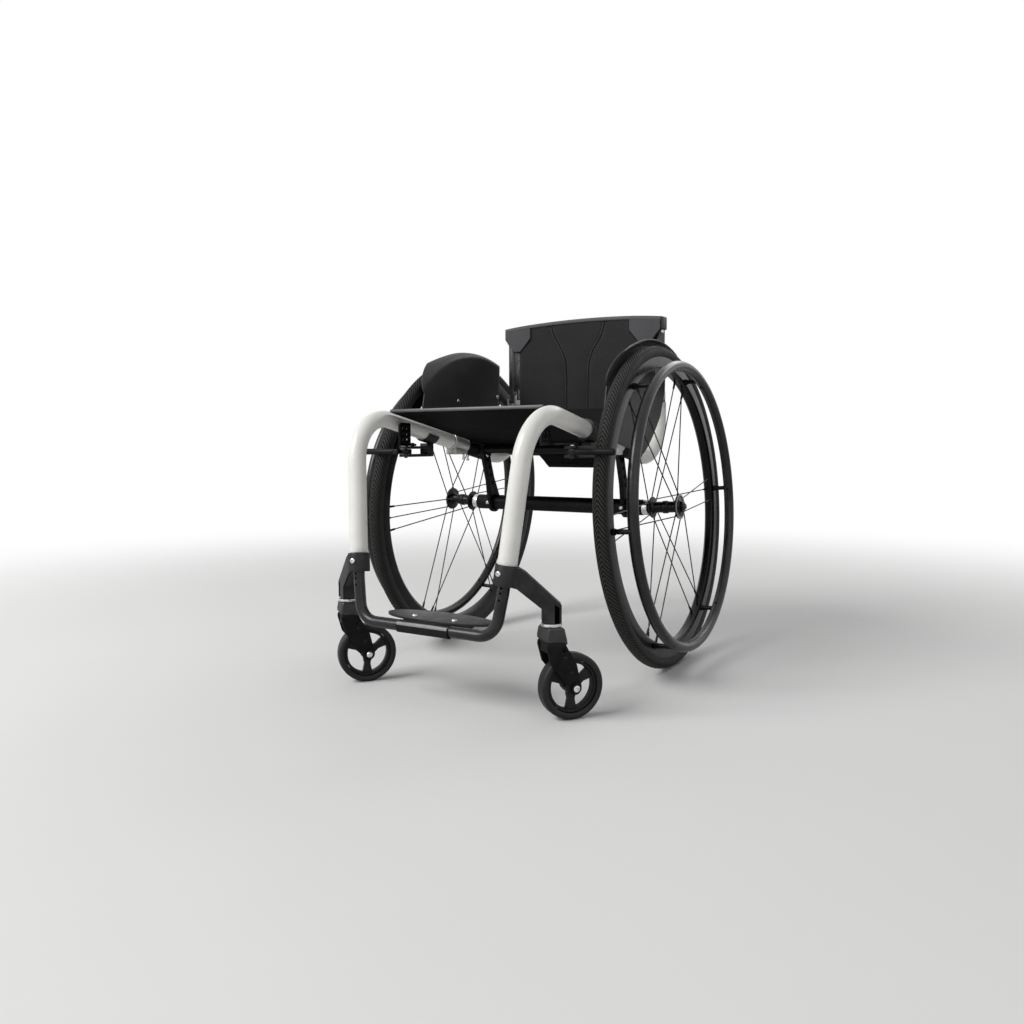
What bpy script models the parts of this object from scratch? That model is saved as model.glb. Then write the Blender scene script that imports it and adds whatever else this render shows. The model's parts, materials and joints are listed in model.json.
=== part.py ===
# Active manual wheelchair with a rigid open frame, spoked rear wheels and a folding back.
# Metres, +Z up. The chair faces -Y and its left side is +X. The floor is Z = 0, and the
# origin lies on the floor under the middle of the whole chair.

import bmesh
import bpy
from math import atan2, cos, pi, radians, sin, sqrt, tan
from mathutils import Matrix, Vector

# Clearances
FACE_GAP = 0.0003
RUN_GAP = 0.0005
BORE_GAP = 0.0004
CUT_REACH = 0.0100

# Edges
SMALL_ROUND = 0.0010
MIDDLE_ROUND = 0.0015
LARGE_ROUND = 0.0020
SLOT_ROUND = 0.0040

# Facets round each turn
WHEEL_STEPS = 40
TYRE_FACETS = 8
CASTER_STEPS = 24
TUBE_SIDES = 14
PIN_SIDES = 12
BEND_STEPS = 8

# Rear wheels
TYRE_RADIUS = 0.298
TYRE_SECTION = 0.0129
WHEEL_X = 0.2294
CAMBER = radians(3.26)
RIM_DEPTH = 0.020
RIM_WALL = 0.0009
RIM_SHOULDER = 0.0060
HANDRIM_RISE = 0.0044
HANDRIM_TUBE = 0.0095
HANDRIM_REACH = 0.0428
HANDRIM_TABS = 6
TAB_RADIUS = 0.0042
SPOKE_GROUPS = 6
SPOKE_RADIUS = 0.0011
GROUP_START = radians(25)
SPOKE_SPREAD = radians(5.2)
SPOKE_RIM_SIDE = 0.003
PAIR_TURN = radians(38)
SINGLE_TURN = radians(50)
HUB_INNER = -0.030
HUB_OUTER = 0.031
HUB_BODY = 0.0105
HUB_FLANGE = 0.0225
HUB_INNER_FLANGE = 0.0200
HUB_COLLAR = 0.0125
FLANGE_THICK = 0.0030
AXLE_PIN = 0.0063
AXLE_HEAD = 0.0100
AXLE_HEAD_THICK = 0.0040
BUTTON_RADIUS = 0.0052
BUTTON_STAND = 0.0040
BUTTON_SUNK = 0.0050
BUTTON_TRAVEL = 0.0035
PIN_ROOM = 0.0020
PIN_CHAMFER = 0.0015
PLUG_REACH = 0.0600
PLUG_CHAMFER = 0.0030

# Frame, with every setback measured from the rear axle line towards the back
FRAME_TUBE = 0.0150
SEAT_ANGLE = radians(10.896)
SEAT_LINE_HEIGHT = 0.3975
SIDE_X_FRONT = 0.1680
SIDE_X_REAR = 0.1690
FRONT_BEND = 0.080
REAR_BEND = 0.075
FOOT_X = 0.1449
FOOT_SETBACK = -0.4302
FOOT_HEIGHT = 0.2364
CORNER_SETBACK = -0.4040
SLEEVE_START = -0.1330
SLEEVE_END = -0.0850
BRACKET_END = -0.0050
SLEEVE_WALL = 0.0015
LUG_DROP = 0.0060
BACK_SETBACK = 0.1140
REAR_TUBE_RISE = 0.12244
AXLE_TUBE = 0.0150
AXLE_TUBE_END = 0.1860
BRACKET_X = 0.1500
BRACKET_THICK = 0.0080
BRACKET_WIDTH = 0.0240
BRACKET_TOP_SETBACK = -0.0370
BRACKET_CLAMP_WALL = 0.0055
BRACKET_HOLE = 0.0034
CROSS_TUBE = 0.0085
CROSS_SETBACK = -0.0400

# Seat and guards
SEAT_FRONT = -0.3300
SEAT_REAR = 0.0850
SEAT_THICK = 0.0055
SEAT_ROUND = 0.0012
EDGE_DEPTH = 0.0045
GUARD_THICK = 0.0028
GUARD_X = 0.1900
GUARD_LIP_X = 0.2095
GUARD_LIP_RISE = 0.0105
GUARD_LIP_DEPTH = 0.0125
GUARD_FRONT_ANGLE = radians(-36.5)
GUARD_REAR_ANGLE = radians(17.5)
GUARD_LIP_FRONT = radians(-28)
GUARD_LIP_REAR = radians(21)
GUARD_FOOT_FRONT = -0.2250
GUARD_FOOT_REAR = 0.0700
GUARD_FOOT_DROP = 0.0060
GUARD_HEEL_RISE = 0.0920

# Casters
CASTER_RADIUS = 0.0508
CASTER_WIDTH = 0.0235
CASTER_RIM = 0.0395
CASTER_HUB = 0.0115
CASTER_TRAIL = 0.0315
CASTER_SWIVEL = radians(36.8)
STEER_X = 0.2015
STEER_SETBACK = -0.3967
STEM_RADIUS = 0.0060
STEM_LENGTH = 0.0190
STEM_ROOM = 0.0015
STEM_ROOT = 0.0040
ARM_FOOT = 0.1500
ARM_THICK = 0.0290
ARM_KNEE = 0.1780
ARM_TOP_DROP = 0.0020
ARM_SHOULDER = 0.0190
ARM_BROW = 0.0320
ARM_BROW_DROP = 0.0080
ARM_HEEL_RISE = 0.0040
ARM_UNDER = 0.0180
ARM_UNDER_DROP = 0.0320
ARM_KNEE_DROP = 0.0060
CLAMP_WALL = 0.0030
CLAMP_HEIGHT = 0.0310
RING_RADIUS = 0.0160
RING_THICK = 0.0045
FORK_WIDTH = 0.0390
FORK_SLOT = 0.0285
FORK_BOSS = 0.0105
FORK_HOLE = 0.0030
FORK_HOLE_BACK = 0.0110
FORK_HOLE_UP = 0.0205
FORK_ROOM = 0.0050
FORK_CROWN_HALF = 0.0135
FORK_SHOULDER_HALF = 0.0170
FORK_SHOULDER_REAR = 0.0120
FORK_SHOULDER_FRONT = 0.0170
FORK_WAIST_IN = 0.0085
FORK_WAIST_DROP = 0.0186
FORK_CHIN = 0.0090
FORK_CHIN_DROP = 0.0166
CASTER_AXLE = 0.0040
CASTER_NUT = 0.0075
CASTER_NUT_HEIGHT = 0.0045
CASTER_NUT_CHAMFER = 0.0020
CASTER_ROUND = 0.0050
CASTER_SIDE_RISE = 0.0030
CASTER_RIM_WALL = 0.0045
CASTER_SPOKE_WIDE = 0.0124
CASTER_SPOKE_THICK = 0.0100

# Footrest
FOOT_TUBE = 0.0092
FOOT_BAR_HEIGHT = 0.1270
FOOT_BAR_SETBACK = -0.4425
FOOT_BAR_HALF = 0.1300
FOOT_BEND = 0.034
FOOT_STRAIGHT = 0.0100
FOOT_KNEE_BEND = 0.040
HEIGHT_HOLE = 0.0026
PLATE_HALF_WIDTH = 0.1000
PLATE_HALF_DEPTH = 0.0335
PLATE_SETBACK = -0.4016
PLATE_HEIGHT = 0.1385
PLATE_THICK = 0.0040
PLATE_BRACKET_HALF = 0.0500
PLATE_BRACKET_WALL = 0.0025
PLATE_SHELF_ROOT = 0.0060
PLATE_SHELF_TIP = 0.0040
PLATE_SCREW_X = 0.0390
PLATE_SCREW_FORWARD = 0.0160
BOLT_RADIUS = 0.0045
BOLT_HEIGHT = 0.0026
BOLT_TURN = radians(19.3)

# Back
HINGE_RISE = 0.0180
CANE_RADIUS = 0.0110
CANE_START = 0.0160
CANE_DROP = 0.0060
CANE_HEEL = 0.0040
CANE_SLOT_HALF = 0.0030
CANE_SLOT_RISE = 0.0060
CANE_SLOT_LOW = 0.0770
CANE_SLOT_HIGH = 0.0950
EAR_THICK = 0.0040
EAR_RISE = 0.0100
TONGUE_HALF = 0.0055
HINGE_PIN = 0.0030
HINGE_PIN_STAND = 0.0020
BAR_RISE = 0.0320
BAR_RADIUS = 0.0070
BAR_BOW = 0.0200
BAR_STRAIGHT = 0.0090
BAR_RUN = 0.0300
BAR_BEND = 0.0200
BACK_HALF_WIDTH = 0.1800
BACK_CORNER_RISE = 0.1500
BACK_CROWN = 0.0130
BACK_DROP = 0.0400
NOTCH_RISE = 0.1200
HINGE_CLEARANCE = 0.0137
BACK_THICK = 0.0060
BACK_SAG = 0.0100
FLAP_TOP_HALF = 0.1400
FLAP_RISE = 0.1089
FLAP_SHOULDER_RISE = 0.0109
FLAP_SHOULDER_HEIGHT = 0.0200
FLAP_SHOULDER_HALF = 0.0906
FLAP_DROP = 0.0141
FLAP_BOTTOM_HALF = 0.0660
FLAP_THICK = 0.0040

# Brakes
BRAKE_CLAMP_BACK = 0.0656
BRAKE_CLAMP_LENGTH = 0.0300
BRAKE_CLAMP_WALL = 0.0035
BAND_OPEN_IN = 0.0020
BAND_OPEN_DROP = 0.0040
BRAKE_PIVOT_X = 0.1700
BRAKE_PIVOT_FORWARD = 0.0160
BRAKE_DROP = 0.0340
BRAKE_BAR = 0.0055
BRAKE_BAR_END = 0.2520
BRAKE_BAR_GAP = 0.0010
KNUCKLE_HALF = 0.0045
KNUCKLE_RADIUS = 0.0105
HANGER_HALF = 0.0090
HANGER_INSET = 0.0050
HANGER_TOP_GAP = 0.0010
BRAKE_PLATE = 0.0050
BRAKE_PLATE_HALF = 0.0120
BRAKE_PLATE_RUN = 0.0120
BRAKE_PIN = 0.0030
BRAKE_PIN_STAND = 0.0020
NECK_NEAR = 0.0020
NECK_FAR = 0.0160
LEVER_PIVOT_BACK = 0.0150
LEVER_PIVOT_IN = 0.0040
LEVER_POST_ROOT = 0.0040
LEVER_POST_STAND = 0.0015
LEVER_X = 0.1420
LEVER_FORWARD = 0.0374
LEVER_LENGTH = 0.0300
LEVER_RISE = 0.0510
LEVER_THICK = 0.0040
LEVER_EYE = 0.0070
LEVER_HOLE = 0.0030
LEVER_HOLE_FIRST = 0.0075
LEVER_HOLE_PITCH = 0.0095
LEVER_FLARE = 0.0060
PADDLE_LIFT = 0.0010

# Places worked out from the sizes above
FRONT_REACH = FOOT_TUBE + PLATE_BRACKET_WALL - FOOT_BAR_SETBACK
AXLE_Y = (FRONT_REACH - TYRE_RADIUS) / 2
HUB_Z = (TYRE_RADIUS - TYRE_SECTION) * cos(CAMBER) + TYRE_SECTION
AXLE_TUBE_Z = HUB_Z - (WHEEL_X - AXLE_TUBE_END) * tan(CAMBER)
SEAT_SLOPE = tan(SEAT_ANGLE)
SLOPE_COS = cos(SEAT_ANGLE)
SEAT_LIFT = FRAME_TUBE / SLOPE_COS
GUARD_TOP = TYRE_RADIUS + GUARD_LIP_RISE
GUARD_CREASE = GUARD_TOP - GUARD_LIP_DEPTH
REAR_TUBE_TOP = SEAT_LINE_HEIGHT - SEAT_SLOPE * BACK_SETBACK + REAR_TUBE_RISE
HINGE_HEIGHT = REAR_TUBE_TOP + HINGE_RISE
CANE_BOTTOM = HINGE_HEIGHT + CANE_START
BACK_CORNER_HEIGHT = HINGE_HEIGHT + BACK_CORNER_RISE
CANE_TOP = BACK_CORNER_HEIGHT - CANE_DROP
BACK_BOTTOM = HINGE_HEIGHT - BACK_DROP
BACK_NOTCH_TOP = HINGE_HEIGHT + NOTCH_RISE
BAR_HEIGHT = HINGE_HEIGHT + BAR_RISE
SIDES = (("left", 1), ("right", -1))


def setback(distance):
    return AXLE_Y + distance


def seat_line(distance):
    return SEAT_LINE_HEIGHT - SEAT_SLOPE * distance


def side_x(distance):
    share = (distance - CORNER_SETBACK) / (BACK_SETBACK - CORNER_SETBACK)
    return SIDE_X_FRONT + share * (SIDE_X_REAR - SIDE_X_FRONT)


def side_point(distance, drop=0.0):
    return Vector((side_x(distance), setback(distance), seat_line(distance) - drop))


def material(name, colour, roughness, metallic):
    found = bpy.data.materials.get(name) or bpy.data.materials.new(name)
    found.use_nodes = True
    shader = found.node_tree.nodes["Principled BSDF"]
    shader.inputs["Base Color"].default_value = (*colour, 1.0)
    shader.inputs["Roughness"].default_value = roughness
    shader.inputs["Metallic"].default_value = metallic
    found.diffuse_color = (*colour, 1.0)
    return found


def white_tube():
    return material("satin_white_enamel", (0.72, 0.72, 0.69), 0.35, 0.0)


def black_metal():
    return material("black_anodised_aluminium", (0.018, 0.018, 0.020), 0.38, 0.6)


def grey_metal():
    return material("grey_aluminium", (0.30, 0.30, 0.31), 0.35, 0.8)


def bright_steel():
    return material("bright_steel", (0.72, 0.72, 0.73), 0.2, 1.0)


def black_plastic():
    return material("black_nylon", (0.022, 0.022, 0.024), 0.5, 0.0)


def tyre_rubber():
    return material("tyre_rubber", (0.020, 0.020, 0.020), 0.75, 0.0)


def guard_carbon():
    return material("charcoal_guard", (0.045, 0.045, 0.048), 0.55, 0.0)


def back_fabric():
    return material("charcoal_fabric", (0.050, 0.050, 0.054), 0.85, 0.0)


def remove_old_objects():
    for old in list(bpy.data.objects):
        bpy.data.objects.remove(old, do_unlink=True)


def make_object(name, bm, finish, parent=None, angle=35):
    bmesh.ops.recalc_face_normals(bm, faces=bm.faces)
    mesh = bpy.data.meshes.new(name)
    bm.to_mesh(mesh)
    bm.free()
    if angle:
        mesh.shade_smooth()
        mesh.set_sharp_from_angle(angle=radians(angle))
    if finish:
        mesh.materials.append(finish)
    made = bpy.data.objects.new(name, mesh)
    bpy.context.scene.collection.objects.link(made)
    if parent:
        made.parent = parent
        made.matrix_parent_inverse = parent.matrix_world.inverted()
    return made


def make_empty(name, matrix, parent=None):
    empty = bpy.data.objects.new(name, None)
    empty.empty_display_size = 0.03
    bpy.context.scene.collection.objects.link(empty)
    if parent:
        empty.parent = parent
        empty.matrix_parent_inverse = parent.matrix_world.inverted()
    empty.matrix_world = matrix
    bpy.context.view_layer.update()
    return empty


def with_tool(body, bm, name, operation):
    tool = make_object(name, bm, None, angle=0)
    tool.display_type = "WIRE"
    tool.hide_render = True
    tool.hide_viewport = False
    change = body.modifiers.new(name, "BOOLEAN")
    change.operation = operation
    change.object = tool
    change.solver = "EXACT"
    return body


def cut(body, bm, name):
    return with_tool(body, bm, name, "DIFFERENCE")


def join(body, bm, name):
    return with_tool(body, bm, name, "UNION")


def mirrored(bm, side):
    if side < 0:
        bmesh.ops.scale(bm, vec=(-1, 1, 1), verts=bm.verts)
        bmesh.ops.reverse_faces(bm, faces=bm.faces)
    return bm


def frame_matrix(origin, along, up=Vector((0, 0, 1))):
    z = Vector(along).normalized()
    x = Vector(up).cross(z)
    if x.length < 1e-6:
        x = Vector((1, 0, 0))
    x.normalize()
    y = z.cross(x)
    facing = Matrix((x, y, z)).transposed().to_4x4()
    return Matrix.Translation(origin) @ facing


def rounded_path(points, radii, steps):
    path = [Vector(points[0])]
    for before, corner, after, radius in zip(points, points[1:], points[2:], radii):
        corner = Vector(corner)
        back = (Vector(before) - corner).normalized()
        ahead = (Vector(after) - corner).normalized()
        half = back.angle(ahead) / 2
        run = radius / tan(half)
        centre = corner + (back + ahead).normalized() * (radius / sin(half))
        start = corner + back * run - centre
        end = corner + ahead * run - centre
        sweep_angle = start.angle(end)
        axis = start.cross(end).normalized()
        for step in range(steps + 1):
            turn = Matrix.Rotation(sweep_angle * step / steps, 3, axis)
            path.append(centre + turn @ start)
    path.append(Vector(points[-1]))
    return path


def swept(path, radius, sides, closed=False):
    bm = bmesh.new()
    count = len(path)
    tangents = []
    for index in range(count):
        after = path[(index + 1) % count] if closed else path[min(index + 1, count - 1)]
        before = path[index - 1] if closed or index else path[0]
        tangents.append((after - before).normalized())
    normal = tangents[0].orthogonal().normalized()
    rings = []
    for index, point in enumerate(path):
        tangent = tangents[index]
        normal = (normal - tangent * normal.dot(tangent)).normalized()
        other = tangent.cross(normal)
        ring = []
        for corner in range(sides):
            angle = 2 * pi * corner / sides
            ring.append(bm.verts.new(point + normal * radius * cos(angle) + other * radius * sin(angle)))
        rings.append(ring)
    last = count if closed else count - 1
    for index in range(last):
        first = rings[index]
        second = rings[(index + 1) % count]
        for corner in range(sides):
            after = (corner + 1) % sides
            bm.faces.new((first[corner], first[after], second[after], second[corner]))
    if not closed:
        bm.faces.new(rings[0][::-1])
        bm.faces.new(rings[-1])
    return bm


def turned(profile, steps, closed=True):
    bm = bmesh.new()
    verts = [bm.verts.new((radius, 0, height)) for radius, height in profile]
    edges = [bm.edges.new(pair) for pair in zip(verts, verts[1:])]
    if closed:
        edges.append(bm.edges.new((verts[-1], verts[0])))
    bmesh.ops.spin(bm, geom=verts + edges, cent=(0, 0, 0), axis=(0, 0, 1), angle=2 * pi,
                   steps=steps, use_merge=True)
    bmesh.ops.remove_doubles(bm, verts=bm.verts, dist=1e-6)
    bmesh.ops.recalc_face_normals(bm, faces=bm.faces)
    return bm


def rod(radius, start, end, sides=16, end_radius=None):
    start = Vector(start)
    end = Vector(end)
    bm = bmesh.new()
    bmesh.ops.create_cone(bm, cap_ends=True, segments=sides, radius1=radius,
                          radius2=end_radius or radius, depth=(end - start).length)
    bmesh.ops.transform(bm, matrix=frame_matrix((start + end) / 2, end - start), verts=bm.verts)
    return bm


def box(low, high):
    low = Vector(low)
    high = Vector(high)
    bm = bmesh.new()
    bmesh.ops.create_cube(bm, size=1)
    bmesh.ops.scale(bm, vec=high - low, verts=bm.verts)
    bmesh.ops.translate(bm, vec=(low + high) / 2, verts=bm.verts)
    return bm


def prism(outline, low, high):
    bm = bmesh.new()
    face = bm.faces.new([bm.verts.new((x, y, low)) for x, y in outline])
    raised = bmesh.ops.extrude_face_region(bm, geom=[face])
    verts = [part for part in raised["geom"] if isinstance(part, bmesh.types.BMVert)]
    bmesh.ops.translate(bm, vec=(0, 0, high - low), verts=verts)
    bmesh.ops.recalc_face_normals(bm, faces=bm.faces)
    return bm


def bevel(bm, width, segments=1, angle=40):
    edges = [edge for edge in bm.edges if edge.calc_face_angle(0) > radians(angle)]
    bmesh.ops.bevel(bm, geom=edges, offset=width, segments=segments, profile=0.5,
                    affect="EDGES", clamp_overlap=True)
    return bm


def moved(bm, matrix):
    bmesh.ops.transform(bm, matrix=matrix, verts=bm.verts)
    return bm


def gather(pieces):
    bm = bmesh.new()
    for piece in pieces:
        mesh = bpy.data.meshes.new("piece")
        piece.to_mesh(mesh)
        piece.free()
        bm.from_mesh(mesh)
        bpy.data.meshes.remove(mesh)
    return bm


def arc(centre, radius, start, end, steps):
    x, y = centre
    angles = [start + (end - start) * step / steps for step in range(steps + 1)]
    return [(x + radius * cos(angle), y + radius * sin(angle)) for angle in angles]


def button_head(radius, height, point, direction, sides=8):
    profile = [(0, 0), (radius, 0), (radius, height * 0.45), (radius * 0.72, height), (0, height)]
    return moved(turned(profile, sides, closed=False), frame_matrix(point, direction))


# The white tubes, their sleeves and the axle brackets
def side_foot():
    return Vector((FOOT_X, setback(FOOT_SETBACK), FOOT_HEIGHT))


def side_corner():
    return side_point(CORNER_SETBACK)


def leg_direction():
    return (side_corner() - side_foot()).normalized()


def slope_direction():
    return (side_point(BACK_SETBACK) - side_corner()).normalized()


def side_tube(name, side):
    corners = [side_foot(), side_corner(), side_point(SLEEVE_START)]
    path = rounded_path(corners, [FRONT_BEND], BEND_STEPS)
    tube = swept(path, FRAME_TUBE, TUBE_SIDES)
    make_object("side_tube_" + name, mirrored(tube, side), white_tube())


def tube_sleeve(name, side):
    start = side_point(SLEEVE_START) + slope_direction() * FACE_GAP
    end = side_point(SLEEVE_END)
    length = (end - start).length
    radius = FRAME_TUBE + SLEEVE_WALL
    lug = 0.41 * length
    barrel = rod(radius, start, end, TUBE_SIDES)
    sleeve = make_object("tube_sleeve_" + name, mirrored(barrel, side), grey_metal())
    middle = (start + end) / 2
    low = Vector((middle.x - radius * 0.75, middle.y - lug, middle.z - radius - LUG_DROP))
    high = Vector((middle.x + radius * 0.75, middle.y + lug, middle.z - radius * 0.5))
    join(sleeve, mirrored(bevel(box(low, high), MIDDLE_ROUND), side), "sleeve_lug_" + name)


def bracket_top():
    return side_point(BRACKET_TOP_SETBACK)


def axle_bracket(name, side):
    start = side_point(SLEEVE_END) + slope_direction() * FACE_GAP
    end = side_point(BRACKET_END)
    radius = FRAME_TUBE + SLEEVE_WALL
    barrel = rod(radius, start, end, TUBE_SIDES)
    body = make_object("axle_bracket_" + name, mirrored(barrel, side), black_metal())
    top = bracket_top()
    inner = BRACKET_X - BRACKET_THICK / 2
    outer = BRACKET_X + BRACKET_THICK / 2
    half = BRACKET_WIDTH / 2
    under_seat = seat_bottom(BRACKET_TOP_SETBACK + half) - FACE_GAP
    boss = box((inner, top.y - half, top.z - half), (top.x, top.y + half, under_seat))
    join(body, mirrored(boss, side), "bracket_boss_" + name)
    rise = Vector((0, top.y - setback(0), top.z - AXLE_TUBE_Z))
    tilt = atan2(-rise.y, rise.z)
    strap = arc((0, 0), AXLE_TUBE + BRACKET_CLAMP_WALL, pi * 0.92, pi * 2.08, 8)
    strap += [(half, rise.length), (-half, rise.length)]
    plate = bevel(prism(strap, inner, outer), SMALL_ROUND)
    stand = Matrix(((0, 0, 1, 0), (1, 0, 0, 0), (0, 1, 0, 0), (0, 0, 0, 1)))
    place = Matrix.Translation((0, setback(0), AXLE_TUBE_Z)) @ Matrix.Rotation(tilt, 4, "X") @ stand
    join(body, mirrored(moved(plate, place), side), "bracket_plate_" + name)
    reach = Vector((inner - CUT_REACH, 0, 0)), Vector((outer + CUT_REACH, 0, 0))
    tools = []
    for share in (0.38, 0.53, 0.68, 0.83):
        centre = Vector((0, setback(0), AXLE_TUBE_Z)) + rise * share
        tools.append(rod(BRACKET_HOLE, centre + reach[0], centre + reach[1], 8))
    centre = Vector((0, setback(0), AXLE_TUBE_Z))
    tools.append(rod(AXLE_TUBE + FACE_GAP, centre + reach[0], centre + reach[1], CASTER_STEPS))
    cut(body, mirrored(gather(tools), side), "bracket_holes_" + name)


def rear_bend(name, side):
    start = side_point(BRACKET_END) + slope_direction() * FACE_GAP
    top = Vector((SIDE_X_REAR, setback(BACK_SETBACK), REAR_TUBE_TOP))
    path = rounded_path([start, side_point(BACK_SETBACK), top], [REAR_BEND], BEND_STEPS)
    make_object("rear_bend_" + name, mirrored(swept(path, FRAME_TUBE, TUBE_SIDES), side), white_tube())


def axle_tube():
    ends = Vector((AXLE_TUBE_END, setback(0), AXLE_TUBE_Z))
    tube = rod(AXLE_TUBE, (-ends.x, ends.y, ends.z), ends, CASTER_STEPS)
    make_object("axle_tube", tube, black_metal())


def seat_bottom(distance):
    return seat_line(distance) + SEAT_LIFT - SEAT_THICK


def seat_cross_tube():
    height = seat_bottom(CROSS_SETBACK) - CROSS_TUBE / SLOPE_COS - FACE_GAP
    end = BRACKET_X - BRACKET_THICK / 2 - FACE_GAP
    ends = Vector((end, setback(CROSS_SETBACK), height))
    tube = rod(CROSS_TUBE, (-ends.x, ends.y, ends.z), ends, PIN_SIDES)
    make_object("seat_cross_tube", tube, black_metal())


# Seat plate, its front trim and the side guards
def slab(places):
    # each place is a setback, a half width and a depth under the seat's top face
    bm = bmesh.new()
    for distance, half, depth in places:
        for x in (-half, half):
            bm.verts.new((x, setback(distance), seat_line(distance) + SEAT_LIFT - depth))
    bmesh.ops.convex_hull(bm, input=bm.verts)
    return bm


def inner_half(distance):
    return side_x(distance) - FRAME_TUBE - FACE_GAP


def seat_plate():
    # the rear top edge is chamfered, clear of the flap behind it
    rear = SEAT_REAR - SEAT_ROUND
    places = [(SEAT_FRONT, inner_half(SEAT_FRONT), depth) for depth in (0, SEAT_THICK)]
    places += [(SEAT_REAR, inner_half(SEAT_REAR), depth) for depth in (SEAT_ROUND, SEAT_THICK)]
    places.append((rear, inner_half(rear), 0))
    make_object("seat_plate", slab(places), black_plastic(), angle=20)


def seat_edge_trim():
    front = SEAT_FRONT - EDGE_DEPTH
    rear = SEAT_FRONT - FACE_GAP
    half = inner_half(front) - FACE_GAP
    places = [(distance, half, depth) for distance in (front, rear) for depth in (0, SEAT_THICK)]
    make_object("seat_edge_trim", bevel(slab(places), SMALL_ROUND), grey_metal())


def guard_point(share, step):
    turn = max(0, step - 2) / 3 * pi / 2
    front = GUARD_FRONT_ANGLE + (GUARD_LIP_FRONT - GUARD_FRONT_ANGLE) * sin(turn)
    rear = GUARD_REAR_ANGLE + (GUARD_LIP_REAR - GUARD_REAR_ANGLE) * sin(turn)
    angle = front + (rear - front) * share
    radius = GUARD_CREASE + (GUARD_TOP - GUARD_CREASE) * sin(turn)
    across = GUARD_X + (GUARD_LIP_X - GUARD_X) * (1 - cos(turn))
    high = Vector((across, setback(radius * sin(angle)), HUB_Z + radius * cos(angle)))
    if step > 1:
        return high
    # the last third of the lower edge rises in a curve to the rear edge
    heel = max(0.0, share * 3 - 2)
    foot = GUARD_FOOT_FRONT + (GUARD_FOOT_REAR - GUARD_FOOT_FRONT) * share
    beside = side_x(foot) + FRAME_TUBE + BRAKE_CLAMP_WALL + FACE_GAP + GUARD_THICK / 2
    rise = GUARD_HEEL_RISE * heel ** 1.3 - GUARD_FOOT_DROP
    low = Vector((beside + (GUARD_X - beside) * heel, setback(foot), seat_line(foot) + rise))
    middle = low.lerp(high, 0.45)
    middle.x = GUARD_X
    middle.y += (high.y - middle.y) * heel * 0.7
    return (low, middle)[step]


def side_guard(name, side):
    stations = 10
    levels = 6
    bm = bmesh.new()
    grid = []
    for station in range(stations):
        share = station / (stations - 1)
        grid.append([bm.verts.new(guard_point(share, level)) for level in range(levels)])
    for first, second in zip(grid, grid[1:]):
        for level in range(levels - 1):
            bm.faces.new((first[level], second[level], second[level + 1], first[level + 1]))
    bmesh.ops.recalc_face_normals(bm, faces=bm.faces)
    guard = make_object("side_guard_" + name, mirrored(bm, side), guard_carbon())
    wall = guard.modifiers.new("wall", "SOLIDIFY")
    wall.thickness = GUARD_THICK
    wall.offset = 0
    wall.use_even_offset = True


# Footrest
def foot_top():
    return side_foot() - leg_direction() * FACE_GAP


def foot_tube():
    top = foot_top()
    knee = top - leg_direction() * (CLAMP_HEIGHT + FOOT_STRAIGHT)
    corner = Vector((FOOT_BAR_HALF, setback(FOOT_BAR_SETBACK), FOOT_BAR_HEIGHT))
    half = [top, knee, corner]
    other = [Vector((-point.x, point.y, point.z)) for point in reversed(half)]
    path = rounded_path(half + other, [FOOT_KNEE_BEND, FOOT_BEND, FOOT_BEND, FOOT_KNEE_BEND], 4)
    tube = make_object("foot_tube", swept(path, FOOT_TUBE, PIN_SIDES), black_metal())
    tools = []
    for share in (0.10, 0.28, 0.46):
        centre = knee.lerp(corner, share)
        for side in (1, -1):
            middle = Vector((side * centre.x, centre.y, centre.z))
            tools.append(rod(HEIGHT_HOLE, middle - Vector((0, 2 * FOOT_TUBE, 0)), middle, 8))
    cut(tube, gather(tools), "foot_tube_holes")


def ellipse(half_x, half_y, centre_y, steps):
    angles = [2 * pi * step / steps for step in range(steps)]
    return [(half_x * cos(angle), centre_y + half_y * sin(angle)) for angle in angles]


def footplate():
    outline = ellipse(PLATE_HALF_WIDTH, PLATE_HALF_DEPTH, setback(PLATE_SETBACK), 32)
    bm = bevel(prism(outline, PLATE_HEIGHT - PLATE_THICK, PLATE_HEIGHT), SMALL_ROUND)
    make_object("footplate", bm, black_plastic())


def footplate_bracket():
    bottom = FOOT_BAR_HEIGHT - FOOT_TUBE - PLATE_BRACKET_WALL
    shelf = PLATE_HEIGHT - PLATE_THICK - FACE_GAP
    y_bar = setback(FOOT_BAR_SETBACK)
    front = y_bar - FOOT_TUBE - PLATE_BRACKET_WALL
    behind = y_bar + FOOT_TUBE + PLATE_BRACKET_WALL
    lip = setback(PLATE_SETBACK - PLATE_HALF_DEPTH) - FACE_GAP * 3
    lip_top = PLATE_HEIGHT + FACE_GAP
    back = setback(PLATE_SETBACK) + PLATE_HALF_DEPTH / 2
    outline = [(front, bottom), (behind, bottom), (behind, shelf - PLATE_SHELF_ROOT),
               (back, shelf - PLATE_SHELF_TIP), (back, shelf), (lip, shelf), (lip, lip_top),
               (front, lip_top)]
    stand = Matrix(((0, 0, 1, 0), (1, 0, 0, 0), (0, 1, 0, 0), (0, 0, 0, 1)))
    bm = moved(prism(outline, -PLATE_BRACKET_HALF, PLATE_BRACKET_HALF), stand)
    bracket = make_object("footplate_bracket", bevel(bm, SMALL_ROUND), black_metal())
    wide = PLATE_BRACKET_HALF + CUT_REACH
    hole = rod(FOOT_TUBE + FACE_GAP, (-wide, y_bar, FOOT_BAR_HEIGHT), (wide, y_bar, FOOT_BAR_HEIGHT), 24)
    cut(bracket, hole, "footplate_bracket_bore")


# Caster arms, rings, forks and wheels
def steer_point(height):
    return Vector((STEER_X, setback(STEER_SETBACK), height))


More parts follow.
